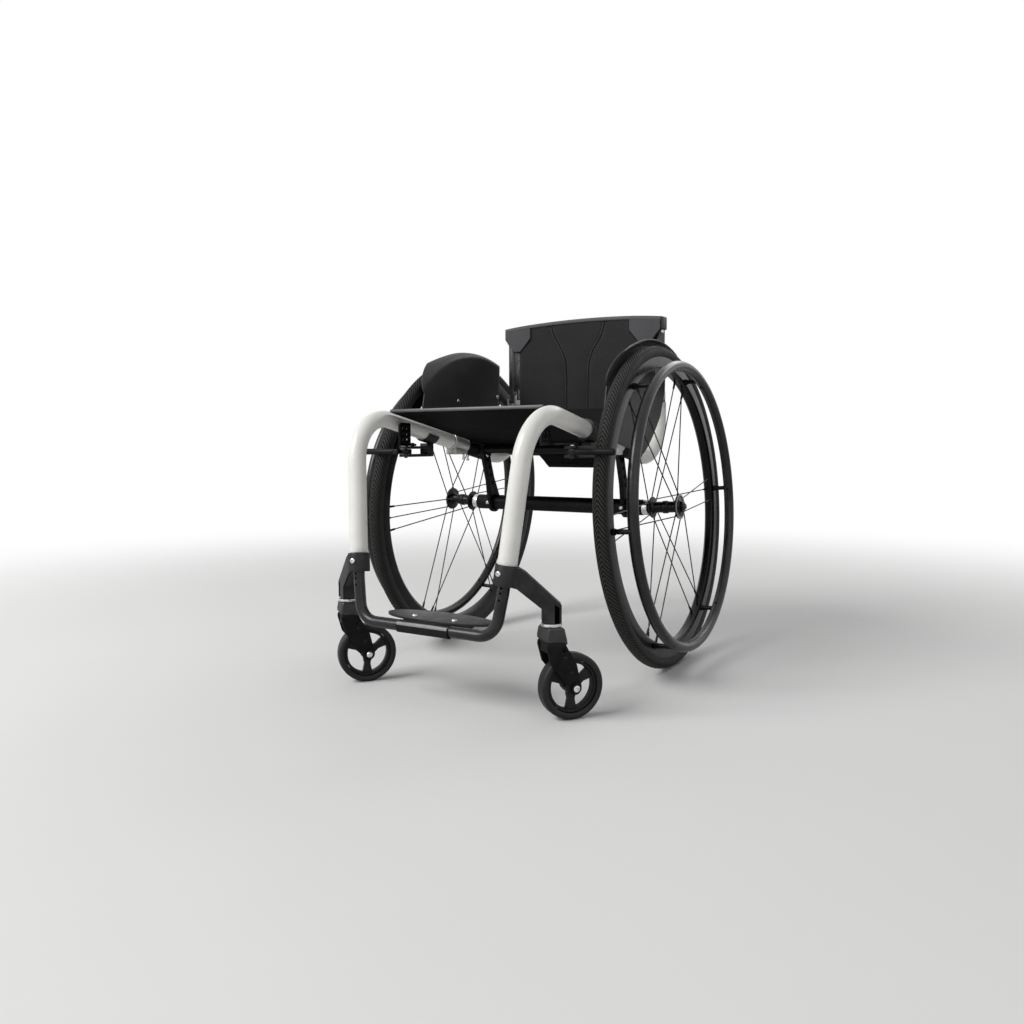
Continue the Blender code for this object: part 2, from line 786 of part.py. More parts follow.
def caster_arm(name, side):
    foot = side_foot() - leg_direction() * FACE_GAP
    low = foot - leg_direction() * CLAMP_HEIGHT
    across = Vector((STEER_X - low.x, steer_point(0).y - low.y, 0))
    reach = across.length
    across.normalize()
    half = ARM_THICK / 2
    top = FOOT_HEIGHT - ARM_TOP_DROP
    outline = [(0, top - CLAMP_HEIGHT + ARM_HEEL_RISE), (0, top), (ARM_SHOULDER, top),
               (ARM_BROW, top - ARM_BROW_DROP), (reach + half, ARM_KNEE), (reach + half, ARM_FOOT),
               (reach - half, ARM_FOOT), (reach - half, ARM_KNEE - ARM_KNEE_DROP),
               (ARM_UNDER, top - ARM_UNDER_DROP)]
    flat = bevel(prism(outline, -half, half), MIDDLE_ROUND)
    place = Matrix((across, Vector((0, 0, 1)), across.cross(Vector((0, 0, 1))))).transposed().to_4x4()
    place = Matrix.Translation((low.x, low.y, 0)) @ place
    arm = make_object("caster_arm_" + name, mirrored(moved(flat, place), side), black_metal())
    join(arm, mirrored(rod(FRAME_TUBE + CLAMP_WALL, low, foot, TUBE_SIDES), side), "arm_clamp_" + name)
    beyond = leg_direction() * CUT_REACH
    tube_bore = rod(FOOT_TUBE + FACE_GAP, low - beyond, foot + beyond, TUBE_SIDES)
    cut(arm, mirrored(tube_bore, side), "arm_bore_" + name)
    above = rod(3 * FRAME_TUBE, foot, foot + beyond, PIN_SIDES)
    cut(arm, mirrored(above, side), "arm_top_trim_" + name)
    bore_top = steer_point(ARM_FOOT + STEM_LENGTH + STEM_ROOM)
    bore = rod(STEM_RADIUS + BORE_GAP, steer_point(ARM_FOOT - CUT_REACH), bore_top, PIN_SIDES)
    cut(arm, mirrored(bore, side), "arm_stem_bore_" + name)


def ring_bottom():
    return ARM_FOOT - FACE_GAP - RING_THICK


def headset_ring(name, side):
    low = ring_bottom()
    high = low + RING_THICK
    inner = STEM_RADIUS + BORE_GAP
    profile = [(inner, low), (RING_RADIUS - SMALL_ROUND, low), (RING_RADIUS, low + SMALL_ROUND),
               (RING_RADIUS, high), (inner, high)]
    centre = Vector((side * STEER_X, setback(STEER_SETBACK), 0))
    ring = moved(turned(profile, CASTER_STEPS), Matrix.Translation(centre))
    make_object("headset_ring_" + name, ring, bright_steel())


def fork_frame(side):
    # Both casters are swung the same way, towards the chair's left
    trail = Vector((sin(CASTER_SWIVEL), cos(CASTER_SWIVEL), 0))
    spin = Vector((-trail.y, trail.x, 0))
    facing = Matrix((trail, spin, Vector((0, 0, 1)))).transposed().to_4x4()
    return Matrix.Translation((side * STEER_X, setback(STEER_SETBACK), 0)) @ facing


def caster_fork(name, side, parent):
    crown = ring_bottom() - RUN_GAP
    slot_top = 2 * CASTER_RADIUS + FORK_ROOM
    tail = CASTER_TRAIL + FORK_BOSS
    boss = arc((CASTER_TRAIL, CASTER_RADIUS), FORK_BOSS, radians(10), radians(-190), 6)
    outline = [(-FORK_CROWN_HALF, crown), (FORK_CROWN_HALF, crown),
               (FORK_SHOULDER_HALF, slot_top + FORK_SHOULDER_REAR),
               (tail - FORK_WAIST_IN, slot_top - FORK_WAIST_DROP)]
    outline += boss + [(-FORK_CHIN, slot_top - FORK_CHIN_DROP),
                       (-FORK_SHOULDER_HALF, slot_top + FORK_SHOULDER_FRONT)]
    stand = Matrix(((1, 0, 0, 0), (0, 0, -1, 0), (0, 1, 0, 0), (0, 0, 0, 1)))
    place = fork_frame(side)
    body = bevel(moved(prism(outline, -FORK_WIDTH / 2, FORK_WIDTH / 2), stand), LARGE_ROUND)
    fork = make_object("caster_fork_" + name, moved(body, place), black_metal(), parent)
    far = 2 * CASTER_RADIUS
    slot = bevel(box((-far, -FORK_SLOT / 2, 0), (far, FORK_SLOT / 2, slot_top)), SLOT_ROUND)
    cut(fork, moved(slot, place), "fork_slot_" + name)
    stem = rod(STEM_RADIUS, (0, 0, crown - STEM_ROOT), (0, 0, ARM_FOOT + STEM_LENGTH), PIN_SIDES)
    join(fork, moved(stem, place), "fork_stem_" + name)
    across = Vector((0, FORK_WIDTH, 0))
    axle = Vector((CASTER_TRAIL, 0, CASTER_RADIUS))
    holes = [rod(CASTER_AXLE + FACE_GAP, axle - across, axle + across, PIN_SIDES)]
    for step in (1, 2):
        centre = axle + Vector((-FORK_HOLE_BACK * step, 0, FORK_HOLE_UP * step))
        holes.append(rod(FORK_HOLE, centre - across, centre + across, 8))
    cut(fork, moved(gather(holes), place), "fork_holes_" + name)


def spin_place(side):
    across = Matrix(((1, 0, 0, 0), (0, 0, -1, 0), (0, 1, 0, 0), (0, 0, 0, 1)))
    return fork_frame(side) @ Matrix.Translation((CASTER_TRAIL, 0, CASTER_RADIUS)) @ across


def caster_wheel(name, side, parent):
    place = spin_place(side)
    half = CASTER_WIDTH / 2
    inner = CASTER_RIM + FACE_GAP
    tread = arc((CASTER_RADIUS - CASTER_ROUND, half - CASTER_ROUND), CASTER_ROUND, radians(75), 0, 1)
    tread += [(x, -y) for x, y in reversed(tread)]
    profile = [(inner, half * 0.72), (inner + CASTER_SIDE_RISE, half * 0.94)] + tread
    profile += [(inner + CASTER_SIDE_RISE, -half * 0.94), (inner, -half * 0.72)]
    make_object("caster_tyre_" + name, moved(turned(profile, CASTER_STEPS), place), tyre_rubber(), parent)
    lip = half * 0.70
    floor = CASTER_RIM - CASTER_RIM_WALL
    profile = [(floor, -lip), (CASTER_RIM, -lip), (CASTER_RIM, lip), (floor, lip)]
    ring = moved(turned(profile, CASTER_STEPS), place)
    wheel = make_object("caster_wheel_" + name, ring, black_plastic(), parent)
    hub_half = FORK_SLOT / 2 - RUN_GAP
    hub = [(0, -hub_half), (CASTER_HUB * 0.75, -hub_half), (CASTER_HUB, -hub_half * 0.7),
           (CASTER_HUB, hub_half * 0.7), (CASTER_HUB * 0.75, hub_half), (0, hub_half)]
    join(wheel, moved(turned(hub, PIN_SIDES, closed=False), place), "caster_hub_" + name)
    spokes = []
    wide = CASTER_SPOKE_WIDE / 2
    thick = CASTER_SPOKE_THICK / 2
    for index in range(3):
        tip = CASTER_RIM - CASTER_RIM_WALL / 2
        arm = bevel(box((CASTER_AXLE, -wide, -thick), (tip, wide, thick)), LARGE_ROUND)
        spokes.append(moved(arm, place @ Matrix.Rotation(2 * pi * index / 3 + radians(30), 4, "Z")))
    for index, spoke in enumerate(spokes):
        join(wheel, spoke, "caster_spoke_%s_%d" % (name, index))
    bore = rod(CASTER_AXLE + BORE_GAP, (0, 0, -FORK_WIDTH), (0, 0, FORK_WIDTH), PIN_SIDES)
    cut(wheel, moved(bore, place), "caster_bore_" + name)


def caster_axle(name, side, parent):
    place = spin_place(side)
    end = FORK_WIDTH / 2 + FACE_GAP
    tip = end + CASTER_NUT_HEIGHT
    crest = CASTER_NUT - CASTER_NUT_CHAMFER
    half = [(CASTER_AXLE, end), (CASTER_NUT, end), (CASTER_NUT, (end + tip) / 2), (crest, tip), (0, tip)]
    profile = [(radius, -height) for radius, height in reversed(half)] + half
    axle = moved(turned(profile, PIN_SIDES, closed=False), place)
    make_object("caster_axle_" + name, axle, bright_steel(), parent)


# Rear wheels, built about their own cambered axis: +Z outward, +Y up the wheel
def wheel_centre(side):
    return Vector((side * WHEEL_X, setback(0), HUB_Z))


def wheel_out(side):
    return Vector((side * cos(CAMBER), 0, sin(CAMBER)))


def wheel_frame(side):
    # +X points to the back on both sides, so the right wheel is the left one mirrored
    up = Vector((-side * sin(CAMBER), 0, cos(CAMBER)))
    facing = Matrix((Vector((0, 1, 0)), up, wheel_out(side))).transposed().to_4x4()
    return Matrix.Translation(wheel_centre(side)) @ facing


def polar(radius, angle, height):
    return Vector((radius * sin(angle), radius * cos(angle), height))


def rear_tyre(name, place, parent):
    centre = TYRE_RADIUS - TYRE_SECTION
    last = 2 * pi * (1 - 1 / TYRE_FACETS)
    profile = arc((centre, 0), TYRE_SECTION, 0, last, TYRE_FACETS - 1)
    make_object("rear_tyre_" + name, moved(turned(profile, WHEEL_STEPS), place), tyre_rubber(), parent)


def rim_inner():
    return TYRE_RADIUS - 2 * TYRE_SECTION - RIM_DEPTH


def tyre_bed():
    return TYRE_SECTION + FACE_GAP / cos(pi / TYRE_FACETS)


def rim_half():
    return tyre_bed() * sin(pi / 4) + RIM_WALL


def handrim_radius():
    return rim_inner() + HANDRIM_RISE


def rear_rim(name, place, parent):
    centre = TYRE_RADIUS - TYRE_SECTION
    inner = rim_inner()
    half = rim_half()
    bed = arc((centre, 0), tyre_bed(), pi * 3 / 4, pi * 5 / 4, 2)
    profile = [(inner, -half * 0.62), (inner, half * 0.62), (inner + RIM_SHOULDER, half), (bed[0][0], half)]
    profile += bed + [(bed[-1][0], -half), (inner + RIM_SHOULDER, -half)]
    make_object("rear_rim_" + name, moved(turned(profile, WHEEL_STEPS), place), black_metal(), parent)


def spoke_lines():
    # Each group has a pair from one flange about a single spoke from the other, turn about
    rim_end = rim_inner() * cos(pi / WHEEL_STEPS) - FACE_GAP - SPOKE_RADIUS / 4
    flanges = ((HUB_INNER_FLANGE, HUB_INNER + FLANGE_THICK * 1.5, -SPOKE_RIM_SIDE),
               (HUB_FLANGE, HUB_OUTER - FLANGE_THICK * 1.5, SPOKE_RIM_SIDE))
    for group in range(SPOKE_GROUPS):
        middle = GROUP_START + 2 * pi * group / SPOKE_GROUPS
        pair = flanges[group % 2]
        single = flanges[1 - group % 2]
        lines = ((-SPOKE_SPREAD, -PAIR_TURN, pair), (SPOKE_SPREAD, PAIR_TURN, pair),
                 (0, -SINGLE_TURN, single))
        for rim_turn, hub_turn, flange in lines:
            radius, height, rim_side = flange
            start = polar(radius - SPOKE_RADIUS * 2, middle + hub_turn, height)
            yield start, polar(rim_end, middle + rim_turn, rim_side)


def rear_hub(name, place, parent):
    bore = AXLE_PIN + BORE_GAP
    out_low = HUB_OUTER - FLANGE_THICK * 2
    out_high = HUB_OUTER - FLANGE_THICK
    in_low = HUB_INNER + FLANGE_THICK
    in_high = HUB_INNER + FLANGE_THICK * 2
    neck = FLANGE_THICK / 2
    profile = [(bore, HUB_INNER), (HUB_COLLAR, HUB_INNER), (HUB_COLLAR, in_low), (HUB_INNER_FLANGE, in_low),
               (HUB_INNER_FLANGE, in_high), (HUB_BODY, in_high + neck), (HUB_BODY, out_low - neck),
               (HUB_FLANGE, out_low), (HUB_FLANGE, out_high), (HUB_COLLAR, out_high),
               (HUB_COLLAR, HUB_OUTER), (bore, HUB_OUTER)]
    hub = make_object("rear_hub_" + name, moved(turned(profile, 16), place), black_metal(), parent)
    spokes = [rod(SPOKE_RADIUS, start, end, 5) for start, end in spoke_lines()]
    join(hub, moved(gather(spokes), place), "rear_spokes_" + name)


def handrim(name, place, parent):
    turns = [2 * pi * step / WHEEL_STEPS for step in range(WHEEL_STEPS)]
    ring = [polar(handrim_radius(), turn, HANDRIM_REACH) for turn in turns]
    rail = moved(swept(ring, HANDRIM_TUBE, 8, closed=True), place)
    rail = make_object("handrim_" + name, rail, black_metal(), parent)
    tabs = []
    for index in range(HANDRIM_TABS):
        angle = GROUP_START + 2 * pi * index / HANDRIM_TABS
        radius = rim_inner() + RIM_SHOULDER + TAB_RADIUS
        start = polar(radius, angle, rim_half() + FACE_GAP)
        tabs.append(rod(TAB_RADIUS, start, polar(radius, angle, HANDRIM_REACH), 8))
    join(rail, moved(gather(tabs), place), "handrim_tabs_" + name)


def camber_plug(name, side, place):
    inner = -PLUG_REACH
    outer = HUB_INNER - RUN_GAP
    bore = AXLE_PIN + BORE_GAP
    size = AXLE_TUBE - RUN_GAP
    profile = [(bore, inner), (size, inner), (size, outer - PLUG_CHAMFER), (size - PLUG_CHAMFER, outer),
               (bore, outer)]
    bm = moved(turned(profile, 16), place)
    cut_x = side * (AXLE_TUBE_END + FACE_GAP)
    whole = bm.verts[:] + bm.edges[:] + bm.faces[:]
    found = bmesh.ops.bisect_plane(bm, geom=whole, plane_co=(cut_x, 0, 0), plane_no=(-side, 0, 0),
                                   clear_outer=True)
    rim = [part for part in found["geom_cut"] if isinstance(part, bmesh.types.BMEdge)]
    bmesh.ops.bridge_loops(bm, edges=rim)
    make_object("camber_plug_" + name, bm, bright_steel())


def quick_release_axle(name, place):
    inner = -(WHEEL_X - AXLE_TUBE_END) / cos(CAMBER) + PIN_ROOM
    face = HUB_OUTER + RUN_GAP
    top = face + AXLE_HEAD_THICK
    hole = BUTTON_RADIUS + BORE_GAP
    hole_floor = top - BUTTON_SUNK - BUTTON_TRAVEL - RUN_GAP
    profile = [(0, inner), (AXLE_PIN - PIN_CHAMFER, inner), (AXLE_PIN, inner + PIN_CHAMFER),
               (AXLE_PIN, face), (AXLE_HEAD, face), (AXLE_HEAD, top - SMALL_ROUND),
               (AXLE_HEAD - SMALL_ROUND, top), (hole, top), (hole, hole_floor), (0, hole_floor)]
    axle = moved(turned(profile, PIN_SIDES, closed=False), place)
    make_object("quick_release_axle_" + name, axle, bright_steel())


def release_button(name, place, parent):
    face = HUB_OUTER + RUN_GAP + AXLE_HEAD_THICK
    low = face - BUTTON_SUNK
    top = face + BUTTON_STAND
    profile = [(0, low), (BUTTON_RADIUS, low), (BUTTON_RADIUS, top - SMALL_ROUND),
               (BUTTON_RADIUS - SMALL_ROUND, top), (0, top)]
    button = moved(turned(profile, PIN_SIDES, closed=False), place)
    make_object("release_button_" + name, button, grey_metal(), parent)


# Folding back
def hinge_point():
    return Vector((SIDE_X_REAR, setback(BACK_SETBACK), HINGE_HEIGHT))


def hinge_bracket(name, side):
    hinge = hinge_point()
    base = REAR_TUBE_TOP + FACE_GAP
    inner = TONGUE_HALF + FACE_GAP * 2
    outer = inner + EAR_THICK
    height = HINGE_HEIGHT + EAR_RISE
    half = CANE_RADIUS
    low = Vector((hinge.x - outer, hinge.y - half, base))
    high = Vector((hinge.x + outer, hinge.y + half, height))
    block = bevel(box(low, high), MIDDLE_ROUND)
    body = make_object("back_hinge_bracket_" + name, mirrored(block, side), grey_metal())
    low = Vector((hinge.x - inner, hinge.y - 2 * half, base + EAR_THICK))
    high = Vector((hinge.x + inner, hinge.y + 2 * half, height + CUT_REACH))
    cut(body, mirrored(box(low, high), side), "hinge_slot_" + name)
    reach = Vector((outer + HINGE_PIN_STAND, 0, 0))
    pin = rod(HINGE_PIN, hinge - reach, hinge + reach, PIN_SIDES)
    join(body, mirrored(pin, side), "hinge_pin_" + name)


def back_cane(name, side, parent):
    hinge = hinge_point()
    low = Vector((hinge.x, hinge.y, CANE_BOTTOM))
    high = Vector((hinge.x, hinge.y, CANE_TOP))
    post = mirrored(rod(CANE_RADIUS, low, high, PIN_SIDES), side)
    cane = make_object("back_cane_" + name, post, black_metal(), parent)
    heel = CANE_RADIUS - FACE_GAP
    outline = arc((hinge.y, HINGE_HEIGHT), heel, pi, 2 * pi, 6)
    outline += [(hinge.y + heel, CANE_BOTTOM + CANE_HEEL), (hinge.y - heel, CANE_BOTTOM + CANE_HEEL)]
    stand = Matrix(((0, 0, 1, 0), (1, 0, 0, 0), (0, 1, 0, 0), (0, 0, 0, 1)))
    tongue = moved(prism(outline, hinge.x - TONGUE_HALF, hinge.x + TONGUE_HALF), stand)
    join(cane, mirrored(tongue, side), "cane_tongue_" + name)
    reach = Vector((CUT_REACH, 0, 0))
    bore = rod(HINGE_PIN + BORE_GAP, hinge - reach, hinge + reach, PIN_SIDES)
    cut(cane, mirrored(bore, side), "cane_bore_" + name)
    slots = []
    for rise in (CANE_SLOT_LOW, CANE_SLOT_HIGH):
        middle = HINGE_HEIGHT + rise
        low = Vector((hinge.x - CANE_SLOT_HALF, hinge.y - 2 * CANE_RADIUS, middle - CANE_SLOT_RISE))
        high = Vector((hinge.x + CANE_SLOT_HALF, hinge.y - CANE_RADIUS / 3, middle + CANE_SLOT_RISE))
        slots.append(box(low, high))
    cut(cane, mirrored(gather(slots), side), "cane_slots_" + name)


def back_bar(parent):
    end = SIDE_X_REAR - CANE_RADIUS - FACE_GAP
    y_cane = setback(BACK_SETBACK)
    start = end - BAR_STRAIGHT
    turn = start - BAR_RUN
    half = [(end, y_cane), (start, y_cane), (turn, y_cane + BAR_BOW)]
    points = [(-x, y, BAR_HEIGHT) for x, y in half] + [(x, y, BAR_HEIGHT) for x, y in reversed(half)]
    path = rounded_path(points, [BAR_BEND] * 4, 2)
    make_object("back_bar", swept(path, BAR_RADIUS, 8), black_metal(), parent)


def back_front_face():
    return setback(BACK_SETBACK) - CANE_RADIUS - FACE_GAP - BACK_THICK / 2


def back_upholstery(parent):
    columns = 12
    rows = 5
    between = SIDE_X_REAR - CANE_RADIUS
    inside = between - HINGE_CLEARANCE
    places = [-BACK_HALF_WIDTH]
    places += [inside * (2 * column / columns - 1) for column in range(columns + 1)]
    places.append(BACK_HALF_WIDTH)
    bm = bmesh.new()
    grid = []
    for x in places:
        crown = 1 - (x / BACK_HALF_WIDTH) ** 2
        dish = max(0.0, 1 - (x / between) ** 2)
        top = BACK_CORNER_HEIGHT + BACK_CROWN * crown
        heights = [BACK_NOTCH_TOP + (top - BACK_NOTCH_TOP) * row / rows for row in range(rows + 1)]
        y = back_front_face() + BACK_SAG * dish ** 1.5
        grid.append([bm.verts.new((x, y, z)) for z in [BACK_BOTTOM] + heights])
    for index, (first, second) in enumerate(zip(grid, grid[1:])):
        beside_hinge = index in (0, len(grid) - 2)
        for row in range(1 if beside_hinge else 0, rows + 1):
            bm.faces.new((first[row], second[row], second[row + 1], first[row + 1]))
    bmesh.ops.delete(bm, geom=[vert for vert in bm.verts if not vert.link_faces], context="VERTS")
    bmesh.ops.recalc_face_normals(bm, faces=bm.faces)
    back = make_object("back_upholstery", bm, back_fabric(), parent)
    wall = back.modifiers.new("wall", "SOLIDIFY")
    wall.thickness = BACK_THICK
    wall.offset = 0


def back_flap():
    line = seat_line(SEAT_REAR)
    shoulder = line + FLAP_SHOULDER_RISE
    half = [(FLAP_BOTTOM_HALF, line - FLAP_DROP), (FLAP_SHOULDER_HALF, shoulder),
            (FLAP_TOP_HALF, shoulder + FLAP_SHOULDER_HEIGHT), (FLAP_TOP_HALF, line + FLAP_RISE)]
    outline = half + [(-x, z) for x, z in reversed(half)]
    stand = Matrix(((1, 0, 0, 0), (0, 0, -1, 0), (0, 1, 0, 0), (0, 0, 0, 1)))
    front = setback(SEAT_REAR) + FACE_GAP
    bm = bevel(moved(prism(outline, -front - FLAP_THICK, -front), stand), SMALL_ROUND)
    make_object("back_flap", bm, back_fabric())


# Brakes
def brake_bar_setback():
    # Where the bar just clears the tread and hangs BRAKE_DROP under the middle of its clamp
    reach = TYRE_RADIUS + BRAKE_BAR + BRAKE_BAR_GAP
    clamp_middle = BRAKE_CLAMP_BACK + BRAKE_CLAMP_LENGTH / 2
    rise = seat_line(clamp_middle) - BRAKE_DROP - HUB_Z
    slope = SEAT_SLOPE / cos(CAMBER)
    rise /= cos(CAMBER)
    square = 1 + slope ** 2
    return (slope * rise - sqrt((slope * rise) ** 2 - square * (rise ** 2 - reach ** 2))) / square


def brake_clamp_start():
    return brake_bar_setback() + BRAKE_CLAMP_BACK


def brake_clamp_end():
    return brake_clamp_start() + BRAKE_CLAMP_LENGTH


def brake_height():
    return seat_line((brake_clamp_start() + brake_clamp_end()) / 2) - BRAKE_DROP


def brake_pivot():
    return Vector((BRAKE_PIVOT_X, setback(brake_bar_setback() + BRAKE_PIVOT_FORWARD), brake_height()))


def lever_pivot():
    pivot = brake_pivot()
    return Vector((pivot.x - LEVER_PIVOT_IN, pivot.y + LEVER_PIVOT_BACK, pivot.z))


def brake_mount(name, side):
    pivot = brake_pivot()
    lever = lever_pivot()
    start = side_point(brake_clamp_start())
    end = side_point(brake_clamp_end())
    inner = FRAME_TUBE + FACE_GAP
    outer = FRAME_TUBE + BRAKE_CLAMP_WALL
    length = (end - start).length
    place = frame_matrix(start, end - start)
    band = moved(turned([(inner, 0), (outer, 0), (outer, length), (inner, length)], TUBE_SIDES), place)
    mount = make_object("brake_mount_" + name, mirrored(band, side), black_metal())
    # the band is open over the tube's inner top, where the seat's edge lies
    opening = box((BAND_OPEN_IN, -BAND_OPEN_DROP, -CUT_REACH), (2 * outer, 2 * outer, length + CUT_REACH))
    cut(mount, mirrored(moved(opening, place), side), "brake_band_opening_" + name)
    low = pivot.z - KNUCKLE_HALF - FACE_GAP
    high = pivot.z + KNUCKLE_HALF + FACE_GAP
    hanger_top = min(start.z, end.z) - FRAME_TUBE - HANGER_TOP_GAP
    near = Vector((pivot.x - HANGER_HALF, start.y + HANGER_INSET, low - BRAKE_PLATE))
    far = Vector((pivot.x + HANGER_HALF, end.y - HANGER_INSET, hanger_top))
    join(mount, mirrored(bevel(box(near, far), SMALL_ROUND), side), "brake_hanger_" + name)
    half = BRAKE_PLATE_HALF
    for label, bottom, top in (("upper", high, high + BRAKE_PLATE), ("lower", low - BRAKE_PLATE, low)):
        root = start.y + BRAKE_PLATE_RUN
        outline = [(pivot.x - half, root)] + arc((pivot.x, pivot.y), half, pi, 2 * pi, 6)
        outline += [(pivot.x + half, root)]
        join(mount, mirrored(prism(outline, bottom, top), side), "brake_%s_plate_%s" % (label, name))
    post_top = high + BRAKE_PLATE + LEVER_THICK + LEVER_POST_STAND
    for label, at, bottom, top in (("pin", pivot, low - BRAKE_PLATE - BRAKE_PIN_STAND, high + BRAKE_PLATE),
                                   ("lever_post", lever, high + LEVER_POST_ROOT, post_top)):
        pin = rod(BRAKE_PIN, (at.x, at.y, bottom), (at.x, at.y, top), PIN_SIDES)
        join(mount, mirrored(pin, side), "brake_%s_%s" % (label, name))


def brake_arm(name, side, parent):
    pivot = brake_pivot()
    half = KNUCKLE_HALF
    eye = arc((pivot.x, pivot.y), KNUCKLE_RADIUS, 0, 2 * pi * 11 / 12, 11)
    knuckle = prism(eye, pivot.z - half, pivot.z + half)
    arm = make_object("brake_arm_" + name, mirrored(knuckle, side), black_metal(), parent)
    bar_y = setback(brake_bar_setback())
    low = Vector((pivot.x + NECK_NEAR, bar_y - half, pivot.z - half))
    high = Vector((pivot.x + NECK_FAR, pivot.y + half, pivot.z + half))
    join(arm, mirrored(box(low, high), side), "brake_neck_" + name)
    root = high.x - NECK_NEAR
    bar = rod(BRAKE_BAR, (root, bar_y, pivot.z), (BRAKE_BAR_END, bar_y, pivot.z), PIN_SIDES)
    join(arm, mirrored(bar, side), "brake_bar_" + name)
    reach = Vector((0, 0, CUT_REACH))
    bore = rod(BRAKE_PIN + BORE_GAP, pivot - reach, pivot + reach, PIN_SIDES)
    cut(arm, mirrored(bore, side), "brake_arm_bore_" + name)


def brake_lever(name, side, parent):
    pivot = lever_pivot()
    base = pivot.z + KNUCKLE_HALF + FACE_GAP * 2 + BRAKE_PLATE
    tip_y = setback(brake_bar_setback() - LEVER_FORWARD)
    near_y = tip_y + LEVER_LENGTH
    inside = LEVER_X - LEVER_THICK / 2
    outside = LEVER_X + LEVER_THICK / 2
    outline = arc((pivot.x, pivot.y), LEVER_EYE, radians(-30), radians(150), 6)
    outline += [(inside, near_y), (inside, tip_y), (outside, tip_y), (outside + LEVER_FLARE, near_y)]
    link = prism(outline, base, base + LEVER_THICK)
    lever = make_object("brake_lever_" + name, mirrored(link, side), black_metal(), parent)
    low = Vector((inside, tip_y, base + PADDLE_LIFT))
    high = Vector((outside, near_y, pivot.z + LEVER_RISE))
    paddle = bevel(box(low, high), SMALL_ROUND)
    join(lever, mirrored(paddle, side), "lever_paddle_" + name)
    reach = Vector((0, 0, CUT_REACH))
    eye = Vector((pivot.x, pivot.y, base + LEVER_THICK / 2))
    tools = [rod(BRAKE_PIN + BORE_GAP, eye - reach, eye + reach, PIN_SIDES)]
    for row in range(3):
        for column in (0.3, 0.7):
            y = tip_y + LEVER_LENGTH * column
            z = base + LEVER_THICK + LEVER_HOLE_FIRST + LEVER_HOLE_PITCH * row
            tools.append(rod(LEVER_HOLE, (inside - LEVER_THICK, y, z), (outside + LEVER_THICK, y, z), 8))
    cut(lever, mirrored(gather(tools), side), "lever_holes_" + name)


# The screws that hold the plate and clamp the footrest, as seen from the front
def clamp_bolt(name, side):
    foot = side_foot() - leg_direction() * (FACE_GAP + CLAMP_HEIGHT * 0.42)
    facing = Vector((-sin(BOLT_TURN), -cos(BOLT_TURN), 0))
    square = facing - leg_direction() * facing.dot(leg_direction())
    start = foot + square.normalized() * (FRAME_TUBE + CLAMP_WALL + FACE_GAP)
    bolt = button_head(BOLT_RADIUS, BOLT_HEIGHT, start, square)
    make_object("clamp_bolt_" + name, mirrored(bolt, side), bright_steel())


def footplate_screw(name, x):
    place = (x, setback(PLATE_SETBACK) - PLATE_SCREW_FORWARD, PLATE_HEIGHT + FACE_GAP)
    screw = button_head(BOLT_RADIUS, BOLT_HEIGHT, place, (0, 0, 1))
    make_object("footplate_screw_" + name, screw, bright_steel())


def build():
    remove_old_objects()
    axle_tube()
    seat_cross_tube()
    seat_plate()
    seat_edge_trim()
    foot_tube()
    footplate()
    footplate_bracket()
    back_flap()
    backrest = make_empty("backrest", Matrix.Translation((0, setback(BACK_SETBACK), HINGE_HEIGHT)))
    back_bar(backrest)
    back_upholstery(backrest)
    for name, side in SIDES:
        side_tube(name, side)
        tube_sleeve(name, side)
        axle_bracket(name, side)
        rear_bend(name, side)
        side_guard(name, side)
        caster_arm(name, side)
        headset_ring(name, side)
        clamp_bolt(name, side)
        footplate_screw(name, side * PLATE_SCREW_X)
        hinge_bracket(name, side)
        back_cane(name, side, backrest)

        fork_at = make_empty("caster_swivel_" + name, fork_frame(side))
        caster_fork(name, side, fork_at)
        roll_at = make_empty("caster_roll_" + name, spin_place(side), fork_at)
        caster_wheel(name, side, roll_at)
        caster_axle(name, side, fork_at)

        place = wheel_frame(side)
        spin_at = frame_matrix(wheel_centre(side), wheel_out(side))
        wheel_at = make_empty("rear_wheel_" + name, spin_at)
        rear_tyre(name, place, wheel_at)
        rear_rim(name, place, wheel_at)
        rear_hub(name, place, wheel_at)
        handrim(name, place, wheel_at)
        camber_plug(name, side, place)
        quick_release_axle(name, place)
        release_button(name, place, make_empty("wheel_release_" + name, spin_at))

        brake_mount(name, side)
        mirror = Matrix.Diagonal((side, 1, 1, 1))
        arm_at = make_empty("brake_arm_pivot_" + name, Matrix.Translation(mirror @ brake_pivot()))
        brake_arm(name, side, arm_at)
        lever_at = make_empty("brake_lever_pivot_" + name, Matrix.Translation(mirror @ lever_pivot()))
        brake_lever(name, side, lever_at)


build()
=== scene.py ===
# Rigid active wheelchair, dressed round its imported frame. Made in Blender 4.5.
# The chair faces -Y, its left side is +X, metres throughout.
import json
import math

import bmesh
import bpy
import numpy
from mathutils import Matrix, Vector, noise


